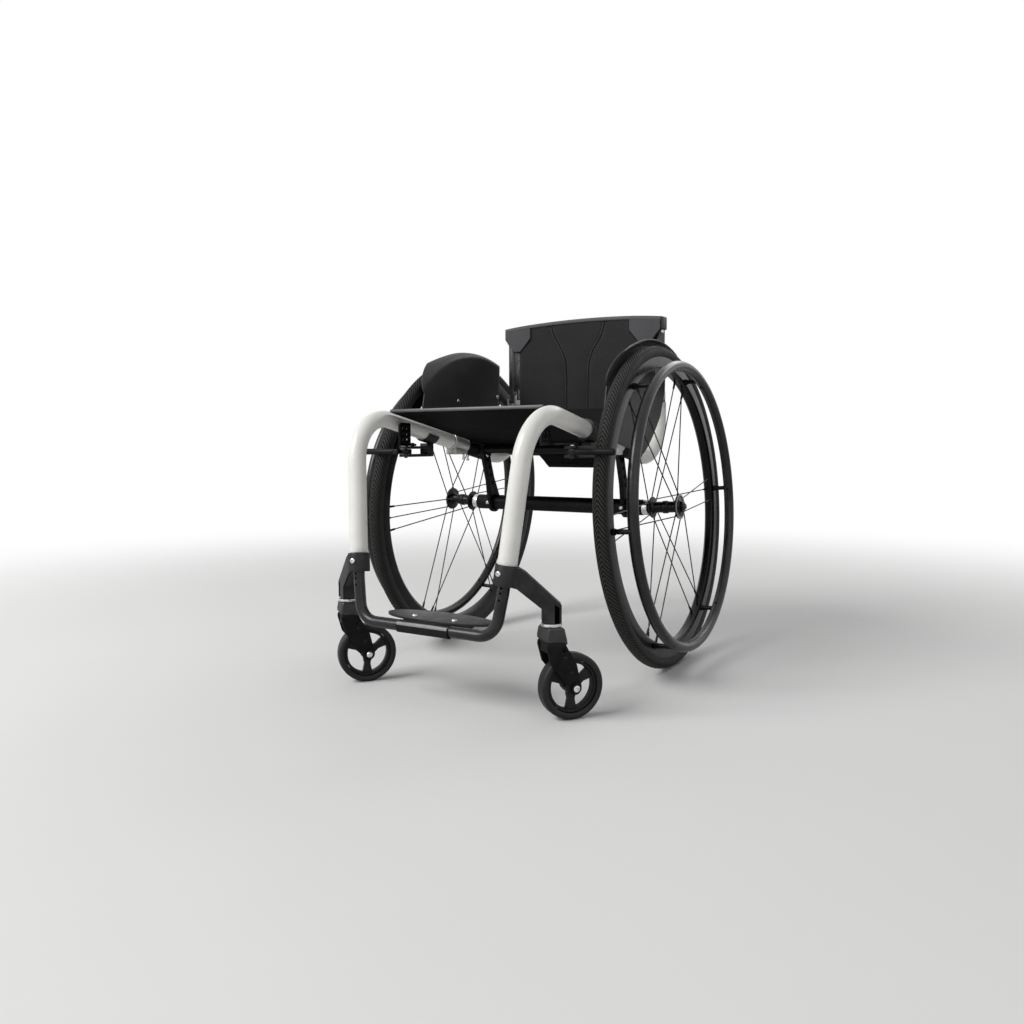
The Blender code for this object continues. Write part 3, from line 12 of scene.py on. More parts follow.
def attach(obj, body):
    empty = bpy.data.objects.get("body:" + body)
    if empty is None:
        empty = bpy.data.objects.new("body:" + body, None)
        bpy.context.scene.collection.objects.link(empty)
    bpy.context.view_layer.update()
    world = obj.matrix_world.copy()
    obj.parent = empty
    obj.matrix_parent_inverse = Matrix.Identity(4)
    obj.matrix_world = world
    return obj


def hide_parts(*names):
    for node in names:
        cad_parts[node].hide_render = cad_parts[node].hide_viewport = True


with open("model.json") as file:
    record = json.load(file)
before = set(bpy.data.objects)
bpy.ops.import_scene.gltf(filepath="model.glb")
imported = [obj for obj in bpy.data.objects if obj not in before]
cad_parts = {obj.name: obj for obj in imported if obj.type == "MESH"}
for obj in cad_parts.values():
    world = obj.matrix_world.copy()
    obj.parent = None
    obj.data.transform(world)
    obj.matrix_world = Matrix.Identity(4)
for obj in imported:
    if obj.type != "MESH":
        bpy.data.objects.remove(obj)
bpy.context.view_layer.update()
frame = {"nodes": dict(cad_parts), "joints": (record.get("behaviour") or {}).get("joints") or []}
joints = {joint["name"]: joint for joint in frame["joints"]}
sides = (("left", 1), ("right", -1))
print("frame loaded:", len(frame["nodes"]), "nodes")

# small helpers for meshes


def vertsOf(made):
    return [part for part in made["geom"] if isinstance(part, bmesh.types.BMVert)]


def moved(bm, matrix):
    bmesh.ops.transform(bm, matrix=matrix, verts=bm.verts)
    return bm


def flipped(bm, side):
    return moved(bm, Matrix.Diagonal((side, 1, 1, 1)))


def shifted(bm, offset):
    return moved(bm, Matrix.Translation(offset))


# these lay a flat XY outline into the YZ plane, or upright into the XZ plane
intoYZ = Matrix(((0, 0, 1, 0), (1, 0, 0, 0), (0, 1, 0, 0), (0, 0, 0, 1)))
intoXZ = Matrix(((1, 0, 0, 0), (0, 0, -1, 0), (0, 1, 0, 0), (0, 0, 0, 1)))


def axesAt(origin, along, up=(0, 0, 1)):
    # local +Z runs along, local +Y stays as near to up as it can
    z = Vector(along).normalized()
    x = Vector(up).cross(z)
    if x.length < 1e-6:
        x = Vector((1, 0, 0))
    x.normalize()
    return Matrix.Translation(origin) @ Matrix((x, z.cross(x), z)).transposed().to_4x4()


def joined(pieces):
    bm = bmesh.new()
    for piece in pieces:
        mesh = bpy.data.meshes.new("part")
        piece.to_mesh(mesh)
        piece.free()
        bm.from_mesh(mesh)
        bpy.data.meshes.remove(mesh)
    return bm


def softEdges(bm, width, segments=2, angle=35):
    edges = [edge for edge in bm.edges if len(edge.link_faces) == 2
             and edge.calc_face_angle(0) > math.radians(angle)]
    bmesh.ops.bevel(bm, geom=edges, offset=width, offset_type="OFFSET", segments=segments, profile=0.5,
                    affect="EDGES", clamp_overlap=True, material=-1)
    return bm


def roundedCorners(points, radius, steps=3, closed=True):
    # cuts each corner of a flat outline with an arc
    count = len(points)
    soft = []
    for index, point in enumerate(points):
        here = Vector(point)
        if not closed and index in (0, count - 1):
            soft.append(tuple(here))
            continue
        back = Vector(points[index - 1]) - here
        ahead = Vector(points[(index + 1) % count]) - here
        half = back.angle(ahead) / 2
        size = radius[index] if isinstance(radius, (list, tuple)) else radius
        run = min(size / max(math.tan(half), 1e-3), back.length * 0.45, ahead.length * 0.45)
        if half > math.radians(88) or run < 1e-6:
            soft.append(tuple(here))
            continue
        start = here + back.normalized() * run
        end = here + ahead.normalized() * run
        for step in range(steps + 1):
            share = step / steps
            soft.append(tuple((start.lerp(here, share)).lerp(here.lerp(end, share), share)))
    return soft


def circlePoints(centre, radius, steps=20, start=0.0, end=2 * math.pi):
    whole = abs(end - start - 2 * math.pi) < 1e-6
    spans = steps if whole else steps - 1
    turns = [start + (end - start) * step / spans for step in range(steps)]
    return [(centre[0] + radius * math.cos(turn), centre[1] + radius * math.sin(turn)) for turn in turns]


def spun(profile, steps, closed=True):
    # profile is (radius, height); the axis is Z
    bm = bmesh.new()
    verts = [bm.verts.new((radius, 0, height)) for radius, height in profile]
    edges = [bm.edges.new(pair) for pair in zip(verts, verts[1:])]
    if closed:
        edges.append(bm.edges.new((verts[-1], verts[0])))
    bmesh.ops.spin(bm, geom=verts + edges, cent=(0, 0, 0), axis=(0, 0, 1), angle=2 * math.pi, steps=steps,
                   use_merge=True)
    bmesh.ops.remove_doubles(bm, verts=bm.verts, dist=1e-6)
    bmesh.ops.recalc_face_normals(bm, faces=bm.faces)
    return bm


def cutPlate(outline, holes, thick, edge=0.0006, segments=2):
    # a flat plate in XY with real holes, its rims rounded
    bm = bmesh.new()
    for loop in [outline] + holes:
        verts = [bm.verts.new((x, y, -thick / 2)) for x, y in loop]
        for pair in zip(verts, verts[1:] + verts[:1]):
            bm.edges.new(pair)
    bmesh.ops.triangle_fill(bm, use_beauty=True, use_dissolve=False, edges=bm.edges[:])
    raised = bmesh.ops.extrude_face_region(bm, geom=bm.faces[:])
    bmesh.ops.translate(bm, vec=(0, 0, thick), verts=vertsOf(raised))
    bmesh.ops.recalc_face_normals(bm, faces=bm.faces)
    if edge:
        softEdges(bm, edge, segments, 50)
    return bm


def bar(radius, start, end, sides=40, edge=0.0006, endRadius=None):
    start, end = Vector(start), Vector(end)
    bm = bmesh.new()
    bmesh.ops.create_cone(bm, cap_ends=True, segments=sides, radius1=radius, radius2=endRadius or radius,
                          depth=(end - start).length)
    if edge:
        softEdges(bm, edge, 2, 60)
    return moved(bm, axesAt((start + end) / 2, end - start))


def block(low, high, edge=0.0008, segments=2):
    low, high = Vector(low), Vector(high)
    bm = bmesh.new()
    bmesh.ops.create_cube(bm, size=1)
    bmesh.ops.scale(bm, vec=high - low, verts=bm.verts)
    bmesh.ops.translate(bm, vec=(low + high) / 2, verts=bm.verts)
    if edge:
        softEdges(bm, edge, segments)
    return bm


def roundedPath(points, radii, steps):
    path = [Vector(points[0])]
    for before, corner, after, radius in zip(points, points[1:], points[2:], radii):
        corner = Vector(corner)
        back = (Vector(before) - corner).normalized()
        ahead = (Vector(after) - corner).normalized()
        half = back.angle(ahead) / 2
        centre = corner + (back + ahead).normalized() * (radius / math.sin(half))
        start = corner + back * (radius / math.tan(half)) - centre
        end = corner + ahead * (radius / math.tan(half)) - centre
        axis = start.cross(end).normalized()
        turn = start.angle(end)
        path += [centre + Matrix.Rotation(turn * step / steps, 3, axis) @ start for step in range(steps + 1)]
    path.append(Vector(points[-1]))
    return path


def evenly(path, spacing):
    # puts points on the long straights too, so that a sweep has even quads
    full = [path[0]]
    for before, after in zip(path, path[1:]):
        cuts = max(1, round((after - before).length / spacing))
        full += [before.lerp(after, cut / cuts) for cut in range(1, cuts + 1)]
    return full


def sweptTube(path, radius, sides=40, edge=0.0006):
    places = []
    normal = (path[1] - path[0]).orthogonal().normalized()
    for index, point in enumerate(path):
        tangent = (path[min(index + 1, len(path) - 1)] - path[max(index - 1, 0)]).normalized()
        normal = (normal - tangent * normal.dot(tangent)).normalized()
        facing = Matrix((normal, tangent.cross(normal), tangent)).transposed().to_4x4()
        places.append(Matrix.Translation(point) @ facing)
    bm = bmesh.new()
    bmesh.ops.create_circle(bm, cap_ends=False, segments=sides, radius=radius, matrix=places[0])
    rim = bm.edges[:]
    first = rim[:]
    for before, after in zip(places, places[1:]):
        grown = bmesh.ops.extrude_edge_only(bm, edges=rim)
        fresh = set(vertsOf(grown))
        rim = [edge for edge in bm.edges if edge.verts[0] in fresh and edge.verts[1] in fresh]
        bmesh.ops.transform(bm, matrix=after @ before.inverted(), verts=list(fresh))
    for loop in (first, rim):
        bmesh.ops.contextual_create(bm, geom=loop)
    bmesh.ops.recalc_face_normals(bm, faces=bm.faces)
    if edge:
        softEdges(bm, edge, 2, 60)
    return bm


def buttonScrew(place, direction, radius=0.0045, height=0.0026, socket=0.42):
    # domed head with a hexagonal socket, sunk a little at its foot
    rim = radius * socket
    profile = [(0, -0.0006), (radius, -0.0006), (radius, height * 0.3), (radius * 0.93, height * 0.62),
               (radius * 0.76, height * 0.88), (radius * 0.55, height), (rim, height),
               (rim * 0.96, height * 0.25), (0, height * 0.2)]
    bm = spun(profile, 24, closed=False)
    for vert in bm.verts:
        flat = math.hypot(vert.co.x, vert.co.y)
        if 1e-5 < flat < rim * 1.02 and vert.co.z > 0:
            turn = math.atan2(vert.co.y, vert.co.x) % (math.pi / 3) - math.pi / 6
            size = math.cos(math.pi / 6) / math.cos(turn)
            vert.co.x *= size
            vert.co.y *= size
    return moved(bm, axesAt(place, direction))


def finishPiece(name, bm, material, body, replaces=(), smooth=32):
    bmesh.ops.remove_doubles(bm, verts=bm.verts, dist=1e-6)
    bmesh.ops.recalc_face_normals(bm, faces=bm.faces)
    mesh = bpy.data.meshes.new(name)
    bm.to_mesh(mesh)
    bm.free()
    mesh.materials.append(material)
    mesh.shade_smooth()
    mesh.set_sharp_from_angle(angle=math.radians(smooth))
    piece = bpy.data.objects.new(name, mesh)
    bpy.context.scene.collection.objects.link(piece)
    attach(piece, body)
    if replaces:
        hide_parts(*replaces)
    return piece


def pairPiece(label, bm, material, name, node=None, body="frame", place=None, smooth=32):
    # one of a pair: moved to its own place, or drawn for the left side and mirrored for the right
    moved(bm, place) if place else flipped(bm, dict(sides)[name])
    nodes = ["%s_%s" % (node, name)] if node else ()
    return finishPiece("%s_%s" % (label, name), bm, material, body, nodes, smooth)


def solidWall(piece, thick, offset=0):
    wall = piece.modifiers.new("sheet", "SOLIDIFY")
    wall.thickness = thick
    wall.offset = offset
    return wall


# materials


def colour(code):
    # sRGB hex to linear, with alpha
    parts = [int(code[place:place + 2], 16) / 255 for place in (1, 3, 5)]
    return (*[part / 12.92 if part <= 0.04045 else ((part + 0.055) / 1.055) ** 2.4 for part in parts], 1.0)


def addNode(tree, kind, links=None, **settings):
    node = tree.nodes.new(kind)
    for key, value in settings.items():
        setattr(node, key, value)
    for socket, value in (links or {}).items():
        if isinstance(value, bpy.types.NodeSocket):
            tree.links.new(value, node.inputs[socket])
        else:
            node.inputs[socket].default_value = value
    return node


def startMaterial(name, rough, metal=0.0, **sockets):
    material = bpy.data.materials.new(name)
    material.use_nodes = True
    tree = material.node_tree
    shader = tree.nodes["Principled BSDF"]
    shader.inputs["Roughness"].default_value = rough
    shader.inputs["Metallic"].default_value = metal
    for socket, value in sockets.items():
        shader.inputs[socket.replace("_", " ")].default_value = value
    return material, tree, shader


def surfaceMaterial(name, base, light, rough, metal=0.0, mottleMm=25, grainMm=1.0, grainHeight=0.00004,
                    roughSpread=0.08, wearAndHighlight=0.0, wearAndHighlightColour="#8C8C8A", **sockets):
    # base and light are the two ends of a soft mottle; the grain is the bump that the making left
    material, tree, shader = startMaterial(name, rough, metal, **sockets)
    place = addNode(tree, "ShaderNodeTexCoord").outputs["Object"]
    mottle = addNode(tree, "ShaderNodeTexNoise", {"Vector": place, "Scale": 1000 / mottleMm, "Detail": 4.0,
                                                  "Roughness": 0.55})
    grain = addNode(tree, "ShaderNodeTexNoise", {"Vector": place, "Scale": 1000 / grainMm, "Detail": 2.0})
    spread = addNode(tree, "ShaderNodeMapRange", {"Value": mottle.outputs["Fac"], "From Min": 0.35,
                                                  "From Max": 0.65, "To Min": 0.0, "To Max": 1.0})
    tone = addNode(tree, "ShaderNodeMix", {"Factor": spread.outputs["Result"]}, data_type="RGBA")
    tone.inputs[6].default_value = colour(base)
    tone.inputs[7].default_value = colour(light)
    top = tone.outputs[2]
    # convex edges turn lighter: rubbed wear on the metals, and a painted highlight on the tyre's tread blocks
    if wearAndHighlight:
        edges = addNode(tree, "ShaderNodeNewGeometry").outputs["Pointiness"]
        edgeWearAndHighlight = addNode(tree, "ShaderNodeMapRange", {"Value": edges, "From Min": 0.53, "From Max": 0.60,
                                                     "To Min": 0.0, "To Max": wearAndHighlight})
        wornAndHighlighted = addNode(tree, "ShaderNodeMix", {"Factor": edgeWearAndHighlight.outputs["Result"]}, data_type="RGBA")
        tree.links.new(top, wornAndHighlighted.inputs[6])
        wornAndHighlighted.inputs[7].default_value = colour(wearAndHighlightColour)
        top = wornAndHighlighted.outputs[2]
    tree.links.new(top, shader.inputs["Base Color"])
    gloss = addNode(tree, "ShaderNodeMapRange", {"Value": mottle.outputs["Fac"], "From Min": 0.3,
                                                 "From Max": 0.7, "To Min": rough - roughSpread,
                                                 "To Max": rough + roughSpread})
    tree.links.new(gloss.outputs["Result"], shader.inputs["Roughness"])
    bump = addNode(tree, "ShaderNodeBump", {"Height": grain.outputs["Fac"], "Distance": grainHeight,
                                            "Strength": 1.0})
    tree.links.new(bump.outputs["Normal"], shader.inputs["Normal"])
    return material


# satin powder coat on the frame tubes: off-white, a faint orange peel about 2 mm across
whiteEnamel = surfaceMaterial("whitePowderCoat", "#E4E3DE", "#EAE9E5", 0.36, 0.0, 60, 2.2, 0.00003, 0.04,
                              Coat_Weight=0.25, Coat_Roughness=0.22)
# bead-blasted and anodised aluminium: black, soft sheen, worn a little at the corners
darkRim = (0.35, 0.35, 0.36, 1.0)
blackAnodised = surfaceMaterial("blackAnodisedAluminium", "#121213", "#1B1B1C", 0.42, 0.7, 18, 0.5, 0.00002,
                                0.06, wearAndHighlight=0.35, wearAndHighlightColour="#4C4D50", Specular_Tint=darkRim)
# black carbon-fibre seat sheet under a matt lacquer; its colour is lowered to near-black as painted shade for
# the seat's shaded underside
seatSheet = surfaceMaterial("mattCarbonSheet", "#0B0B0C", "#121213", 0.75, 0.0, 20, 0.7, 0.00004, 0.06,
                            Specular_IOR_Level=0.03)
# satin aluminium extrusion along the seat's front
trimSatin = surfaceMaterial("satinTrimAluminium", "#48484A", "#535354", 0.42, 0.5, 14, 0.4, 0.00002, 0.05)
# cast and bead-blasted aluminium of the caster arms, fork crowns and brake mounts: charcoal
castCharcoal = surfaceMaterial("castCharcoalAluminium", "#252526", "#313132", 0.46, 0.5, 20, 0.6, 0.00003,
                               0.06, wearAndHighlight=0.3, wearAndHighlightColour="#6A6A6B", Specular_Tint=darkRim)
# painted shade: near-black and matt, it stands in for the shade inside drilled holes and slots
holeShade = surfaceMaterial("drilledHoleBlack", "#040404", "#070707", 0.9, 0.0, 5, 0.5, 0.00001, 0.05,
                           Specular_IOR_Level=0.02)
# turned and anodised: wheel rims, hubs and steering barrels, smoother, so that they draw long highlights
blackRim = surfaceMaterial("blackAnodisedRim", "#0E0E0F", "#151516", 0.27, 0.65, 40, 0.8, 0.00001, 0.05)
# hand rims and the foot tube: anodised and wiped smooth
handSatin = surfaceMaterial("handRimSatinBlack", "#202022", "#2A2A2C", 0.27, 0.5, 30, 0.7, 0.00001, 0.05)
# dark satin aluminium of the back posts, their edge strips and the release buttons
graphite = surfaceMaterial("graphiteAnodised", "#3A3A3B", "#454547", 0.42, 0.5, 14, 0.5, 0.00002, 0.06,
                           wearAndHighlight=0.2, wearAndHighlightColour="#7C7C7D")
# clear-anodised grey aluminium, satin
greyAnodised = surfaceMaterial("greyAnodisedAluminium", "#8B8B88", "#98989A", 0.36, 0.7, 12, 0.4, 0.00002,
                               0.05, wearAndHighlight=0.25, wearAndHighlightColour="#C4C4C2")
# the clamp sleeves: pale silver, almost as light as the tubes
paleAnodised = surfaceMaterial("paleAnodisedAluminium", "#BEBEBB", "#CACAC7", 0.38, 0.45, 14, 0.4, 0.00002,
                               0.05)
# bright zinc-plated and polished steel of the bolts and plugs
brightSteel = surfaceMaterial("brightZincSteel", "#C9CACB", "#DADBDC", 0.22, 1.0, 6, 0.4, 0.00001, 0.05)
# moulded glass-filled nylon: black, matt, with fine spark texture
blackNylon = surfaceMaterial("mouldedBlackNylon", "#0D0D0E", "#141415", 0.55, 0.0, 22, 0.8, 0.00005, 0.05,
                             Specular_IOR_Level=0.25)
# the footplate's nylon, scuffed lighter by shoes
plateNylon = surfaceMaterial("scuffedNylon", "#1B1B1C", "#262627", 0.5, 0.0, 16, 0.9, 0.00007, 0.08)
# tyre rubber: near black; its tread blocks' raised edges are painted lighter, a painted highlight on the
# block tops
tyreRubber = surfaceMaterial("vulcanisedTyreRubber", "#161615", "#222221", 0.7, 0.0, 15, 0.9, 0.00006, 0.08,
                             wearAndHighlight=0.7, wearAndHighlightColour="#4C4C4A", Specular_IOR_Level=0.3)
# cast polyurethane of the caster tyres: black with a dull sheen; the colour is lowered further as painted
# shade on these low wheels
casterRubber = surfaceMaterial("castPolyurethane", "#101010", "#191919", 0.5, 0.0, 12, 0.7, 0.00004, 0.07,
                               Specular_IOR_Level=0.3)
# side guards: charcoal thermoplastic sheet with a leathery grain about 1 mm across
guardSheet = surfaceMaterial("charcoalThermoplastic", "#2B2B2C", "#343435", 0.5, 0.0, 35, 1.1, 0.00007, 0.06,
                             Specular_IOR_Level=0.35)
# black spoke wire, drawn and coated
spokeWire = surfaceMaterial("blackSpokeWire", "#0E0E0F", "#161617", 0.34, 0.6, 10, 0.4, 0.00001, 0.05)


def wovenMaterial(name, warp, weft, threadMm, rough, height, sheen=0.25):
    # plain weave from two crossed waves on the piece's own UV, laid out in metres
    material, tree, shader = startMaterial(name, rough)
    shader.inputs["Specular IOR Level"].default_value = 0.25
    shader.inputs["Sheen Weight"].default_value = sheen
    shader.inputs["Sheen Roughness"].default_value = 0.5
    place = addNode(tree, "ShaderNodeUVMap", uv_map="cloth").outputs["UV"]
    scale = math.pi / (threadMm / 1000) / 20
    lanes = [addNode(tree, "ShaderNodeTexWave", {"Vector": place, "Scale": scale, "Distortion": 0.4,
                                                 "Detail": 1.0, "Detail Scale": 3.0},
                     wave_type="BANDS", bands_direction=direction, wave_profile="SIN")
             for direction in ("X", "Y")]
    weave = addNode(tree, "ShaderNodeMath", {0: lanes[0].outputs["Fac"], 1: lanes[1].outputs["Fac"]},
                    operation="MULTIPLY")
    blotch = addNode(tree, "ShaderNodeTexNoise", {"Vector": place, "Scale": 22.0, "Detail": 5.0})
    mixed = addNode(tree, "ShaderNodeMath", {0: weave.outputs[0], 1: blotch.outputs["Fac"]}, operation="ADD")
    share = addNode(tree, "ShaderNodeMapRange", {"Value": mixed.outputs[0], "From Min": 0.3, "From Max": 1.4})
    tone = addNode(tree, "ShaderNodeMix", {"Factor": share.outputs["Result"]}, data_type="RGBA")
    tone.inputs[6].default_value = colour(warp)
    tone.inputs[7].default_value = colour(weft)
    tree.links.new(tone.outputs[2], shader.inputs["Base Color"])
    bump = addNode(tree, "ShaderNodeBump", {"Height": weave.outputs[0], "Distance": height, "Strength": 1.0})
    tree.links.new(bump.outputs["Normal"], shader.inputs["Normal"])
    return material


# padded back: charcoal polyester, threads about 0.9 mm apart, drawn at 1.6 mm so that they show
backCloth = wovenMaterial("charcoalPolyesterWeave", "#1E1E1F", "#2D2D2F", 1.6, 0.82, 0.00018, 0.12)
# corner patches and hem binding: smoother coated cloth, a shade lighter
patchCloth = wovenMaterial("coatedCornerCloth", "#414143", "#505052", 1.0, 0.6, 0.00008, 0.15)
# the flap behind the seat: the same cloth in black, lowered further as painted shade under the seat
flapCloth = wovenMaterial("blackPolyesterWeave", "#101011", "#1A1A1B", 1.6, 0.85, 0.00015, 0.05)
# woven tape that binds the top edge, a shade lighter than the patches as a painted highlight where it faces
# up
bindingTape = wovenMaterial("ribbedBindingTape", "#505052", "#606062", 0.9, 0.6, 0.00008, 0.15)
# sewing thread, and the dark cord in the seams: painted shade in their grooves and painted shadow along the
# patches' borders
# the thread is a shade lighter than the cloth, partly its own colour and partly a painted highlight on the
# lit ridges beside the seams
threadWithHighlight = surfaceMaterial("polyesterThread", "#5A5A5C", "#6A6A6C", 0.75, 0.0, 4, 0.5, 0.00005, 0.05)
seamShade = surfaceMaterial("blackSeamCord", "#131314", "#1A1A1B", 0.8, 0.0, 4, 0.5, 0.00005, 0.05,
                           Specular_IOR_Level=0.15)
print("materials made")

# camera, floor and light
cameraView = {"place": (0.7842, -1.3955, 0.4152), "yaw": 31.15, "pitch": -4.651, "roll": -0.211,
              "focalPixels": 830.4, "imagePixels": 1024, "sensorMm": 36.0}


def addCamera(values):
    yaw, pitch, roll = (math.radians(values[key]) for key in ("yaw", "pitch", "roll"))
    ahead = Vector((-math.sin(yaw) * math.cos(pitch), math.cos(yaw) * math.cos(pitch), math.sin(pitch)))
    right = Vector((math.cos(yaw), math.sin(yaw), 0))
    up = right.cross(ahead)
    across = right * math.cos(roll) + up * math.sin(roll)
    above = up * math.cos(roll) - right * math.sin(roll)
    data = bpy.data.cameras.new("photoView")
    data.sensor_width = values["sensorMm"]
    data.lens = values["focalPixels"] * values["sensorMm"] / values["imagePixels"]
    data.clip_end = 100
    camera = bpy.data.objects.new("photoView", data)
    bpy.context.scene.collection.objects.link(camera)
    facing = Matrix((across, above, -ahead)).transposed().to_4x4()
    camera.matrix_world = Matrix.Translation(values["place"]) @ facing
    bpy.context.scene.camera = camera


addCamera(cameraView)

studio = {"floorSize": 60.0, "floorColour": "#EBEAE8", "floorCloud": "#E6E6E5", "nearFade": 0.75,
          "farFade": 3.0, "skyColour": "#F0F1F3", "skyStrength": 0.32, "keyWatts": 146.0, "fillWatts": 4.0,
          "rimWatts": 16.0}


def addFloor(values):
    # plain floor; far from the chair it turns into the white backdrop, so no horizon shows
    bm = bmesh.new()
    bmesh.ops.create_grid(bm, x_segments=2, y_segments=2, size=values["floorSize"] / 2)
    mesh = bpy.data.meshes.new("studioFloor")
    bm.to_mesh(mesh)
    bm.free()
    material, tree, shader = startMaterial("paleStudioFloor", 0.75)
    place = addNode(tree, "ShaderNodeTexCoord").outputs["Object"]
    cloud = addNode(tree, "ShaderNodeTexNoise", {"Vector": place, "Scale": 3.0, "Detail": 3.0})
    tone = addNode(tree, "ShaderNodeMix", {"Factor": cloud.outputs["Fac"]}, data_type="RGBA")
    tone.inputs[6].default_value = colour(values["floorColour"])
    tone.inputs[7].default_value = colour(values["floorCloud"])
    tree.links.new(tone.outputs[2], shader.inputs["Base Color"])
    away = addNode(tree, "ShaderNodeVectorMath", {0: place}, operation="LENGTH")
    fade = addNode(tree, "ShaderNodeMapRange", {"Value": away.outputs["Value"],
                                                "From Min": values["nearFade"],
                                                "From Max": values["farFade"]},
                   interpolation_type="SMOOTHERSTEP")
    rays = addNode(tree, "ShaderNodeLightPath").outputs["Is Camera Ray"]
    share = addNode(tree, "ShaderNodeMath", {0: fade.outputs["Result"], 1: rays}, operation="MULTIPLY")
    white = addNode(tree, "ShaderNodeEmission", {"Color": (1, 1, 1, 1), "Strength": 1.0})
    both = addNode(tree, "ShaderNodeMixShader", {"Fac": share.outputs[0]})
    tree.links.new(shader.outputs[0], both.inputs[1])
    tree.links.new(white.outputs[0], both.inputs[2])
    tree.links.new(both.outputs[0], tree.nodes["Material Output"].inputs["Surface"])
    mesh.materials.append(material)
    floor = bpy.data.objects.new("studioFloor", mesh)
    bpy.context.scene.collection.objects.link(floor)


def addSky(values):
    world = bpy.data.worlds.new("softStudio")
    bpy.context.scene.world = world
    world.use_nodes = True
    tree = world.node_tree
    tree.nodes.clear()
    rays = addNode(tree, "ShaderNodeLightPath").outputs
    seen = addNode(tree, "ShaderNodeMath", {0: rays["Is Camera Ray"], 1: rays["Is Glossy Ray"]},
                   operation="MAXIMUM")
    seen = addNode(tree, "ShaderNodeMath", {0: seen.outputs[0], 1: rays["Is Transmission Ray"]},
                   operation="MAXIMUM")
    plain = addNode(tree, "ShaderNodeBackground", {"Color": colour(values["skyColour"]),
                                                   "Strength": values["skyStrength"]})
    white = addNode(tree, "ShaderNodeBackground", {"Color": (1, 1, 1, 1), "Strength": 1.0})
    both = addNode(tree, "ShaderNodeMixShader", {"Fac": seen.outputs[0]})
    tree.links.new(plain.outputs[0], both.inputs[1])
    tree.links.new(white.outputs[0], both.inputs[2])
    addNode(tree, "ShaderNodeOutputWorld", {"Surface": both.outputs[0]})


def addLamp(name, watts, size, place, target):
    data = bpy.data.lights.new(name, "AREA")
    data.shape = "RECTANGLE"
    data.size, data.size_y = size
    data.energy = watts
    lamp = bpy.data.objects.new(name, data)
    bpy.context.scene.collection.objects.link(lamp)
    back = Vector(place) - Vector(target)
    lamp.matrix_world = Matrix.Translation(place) @ back.to_track_quat("Z", "Y").to_matrix().to_4x4()


addFloor(studio)
addSky(studio)
chairMiddle = (0.0, 0.0, 0.35)
addLamp("keyLight", studio["keyWatts"], (2.2, 2.2), (-1.9, -3.0, 3.0), chairMiddle)
addLamp("fillLight", studio["fillWatts"], (2.0, 1.2), (2.4, -1.2, 1.4), chairMiddle)
addLamp("rimLight", studio["rimWatts"], (2.0, 1.0), (0.6, 2.4, 2.2), chairMiddle)
bpy.context.scene.view_settings.view_transform = "Standard"
print("camera, floor and lamps placed")

# places shared by the frame's pieces
axleY = joints["rear_wheel_left_spin"]["pos_m"][1]
hubZ = joints["rear_wheel_left_spin"]["pos_m"][2]
wheelX = joints["rear_wheel_left_spin"]["pos_m"][0]
outward = Vector(joints["rear_wheel_left_spin"]["axis"])
hingeAt = Vector(joints["back_fold"]["pos_m"])

rail = {"radius": 0.015, "slope": 0.1925, "height": 0.3975, "xFront": 0.1680, "xRear": 0.1690,
        "corner": -0.4040, "back": 0.1140, "frontBend": 0.080, "rearBend": 0.075, "sleeveStart": -0.1330,
        "sleeveEnd": -0.0850, "bracketEnd": -0.0050, "tubeTop": 0.4980, "foot": (0.1449, -0.4302, 0.2364),
        "gap": 0.0003, "around": 48, "spacing": 0.012}


def railPoint(back):
    share = (back - rail["corner"]) / (rail["back"] - rail["corner"])
    across = rail["xFront"] + share * (rail["xRear"] - rail["xFront"])
    return Vector((across, axleY + back, rail["height"] - rail["slope"] * back))


footAt = Vector((rail["foot"][0], axleY + rail["foot"][1], rail["foot"][2]))
legDown = (footAt - railPoint(rail["corner"])).normalized()
railBack = (railPoint(rail["back"]) - railPoint(rail["corner"])).normalized()
seatNormal = Vector((0, rail["slope"], 1)).normalized()
seatLift = rail["radius"] / seatNormal.z


def seatTop(back):
    return rail["height"] - rail["slope"] * back + seatLift


def addFrameTubes():
    corners = [footAt, railPoint(rail["corner"]), railPoint(rail["sleeveStart"])]
    front = roundedPath(corners, [rail["frontBend"]], 22)
    top = Vector((rail["xRear"], axleY + rail["back"], rail["tubeTop"]))
    corners = [railPoint(rail["bracketEnd"]) + railBack * rail["gap"], railPoint(rail["back"]), top]
    rear = roundedPath(corners, [rail["rearBend"]], 22)
    for name, side in sides:
        for label, path, node in (("frontTube", front, "side_tube"), ("rearTube", rear, "rear_bend")):
            tube = sweptTube(evenly(path, rail["spacing"]), rail["radius"], rail["around"])
            finishPiece("%s_%s" % (label, name), flipped(tube, side), whiteEnamel, "frame",
                        ["%s_%s" % (node, name)])
    print("frame tubes swept")


addFrameTubes()

# sleeves, axle brackets and the tubes between them
bracket = {"wall": 0.0015, "lugDrop": 0.006, "x": 0.150, "thick": 0.008, "width": 0.024, "topBack": -0.037,
           "clampWall": 0.0055, "hole": 0.0034, "axleTube": 0.015, "axleTubeEnd": 0.186, "crossTube": 0.0085,
           "crossBack": -0.040, "seatThick": 0.0055}
axleTubeZ = hubZ - (wheelX - bracket["axleTubeEnd"]) * outward.z / outward.x
sleeve = {"blockShare": 0.41, "screwX": 0.1556, "screws": ((-0.1045, 0.3880), (-0.0900, 0.3858)),
          "head": 0.0034, "headThick": 0.0026, "shank": 0.0022, "slitLow": 0.0022, "slitHigh": 0.0034}


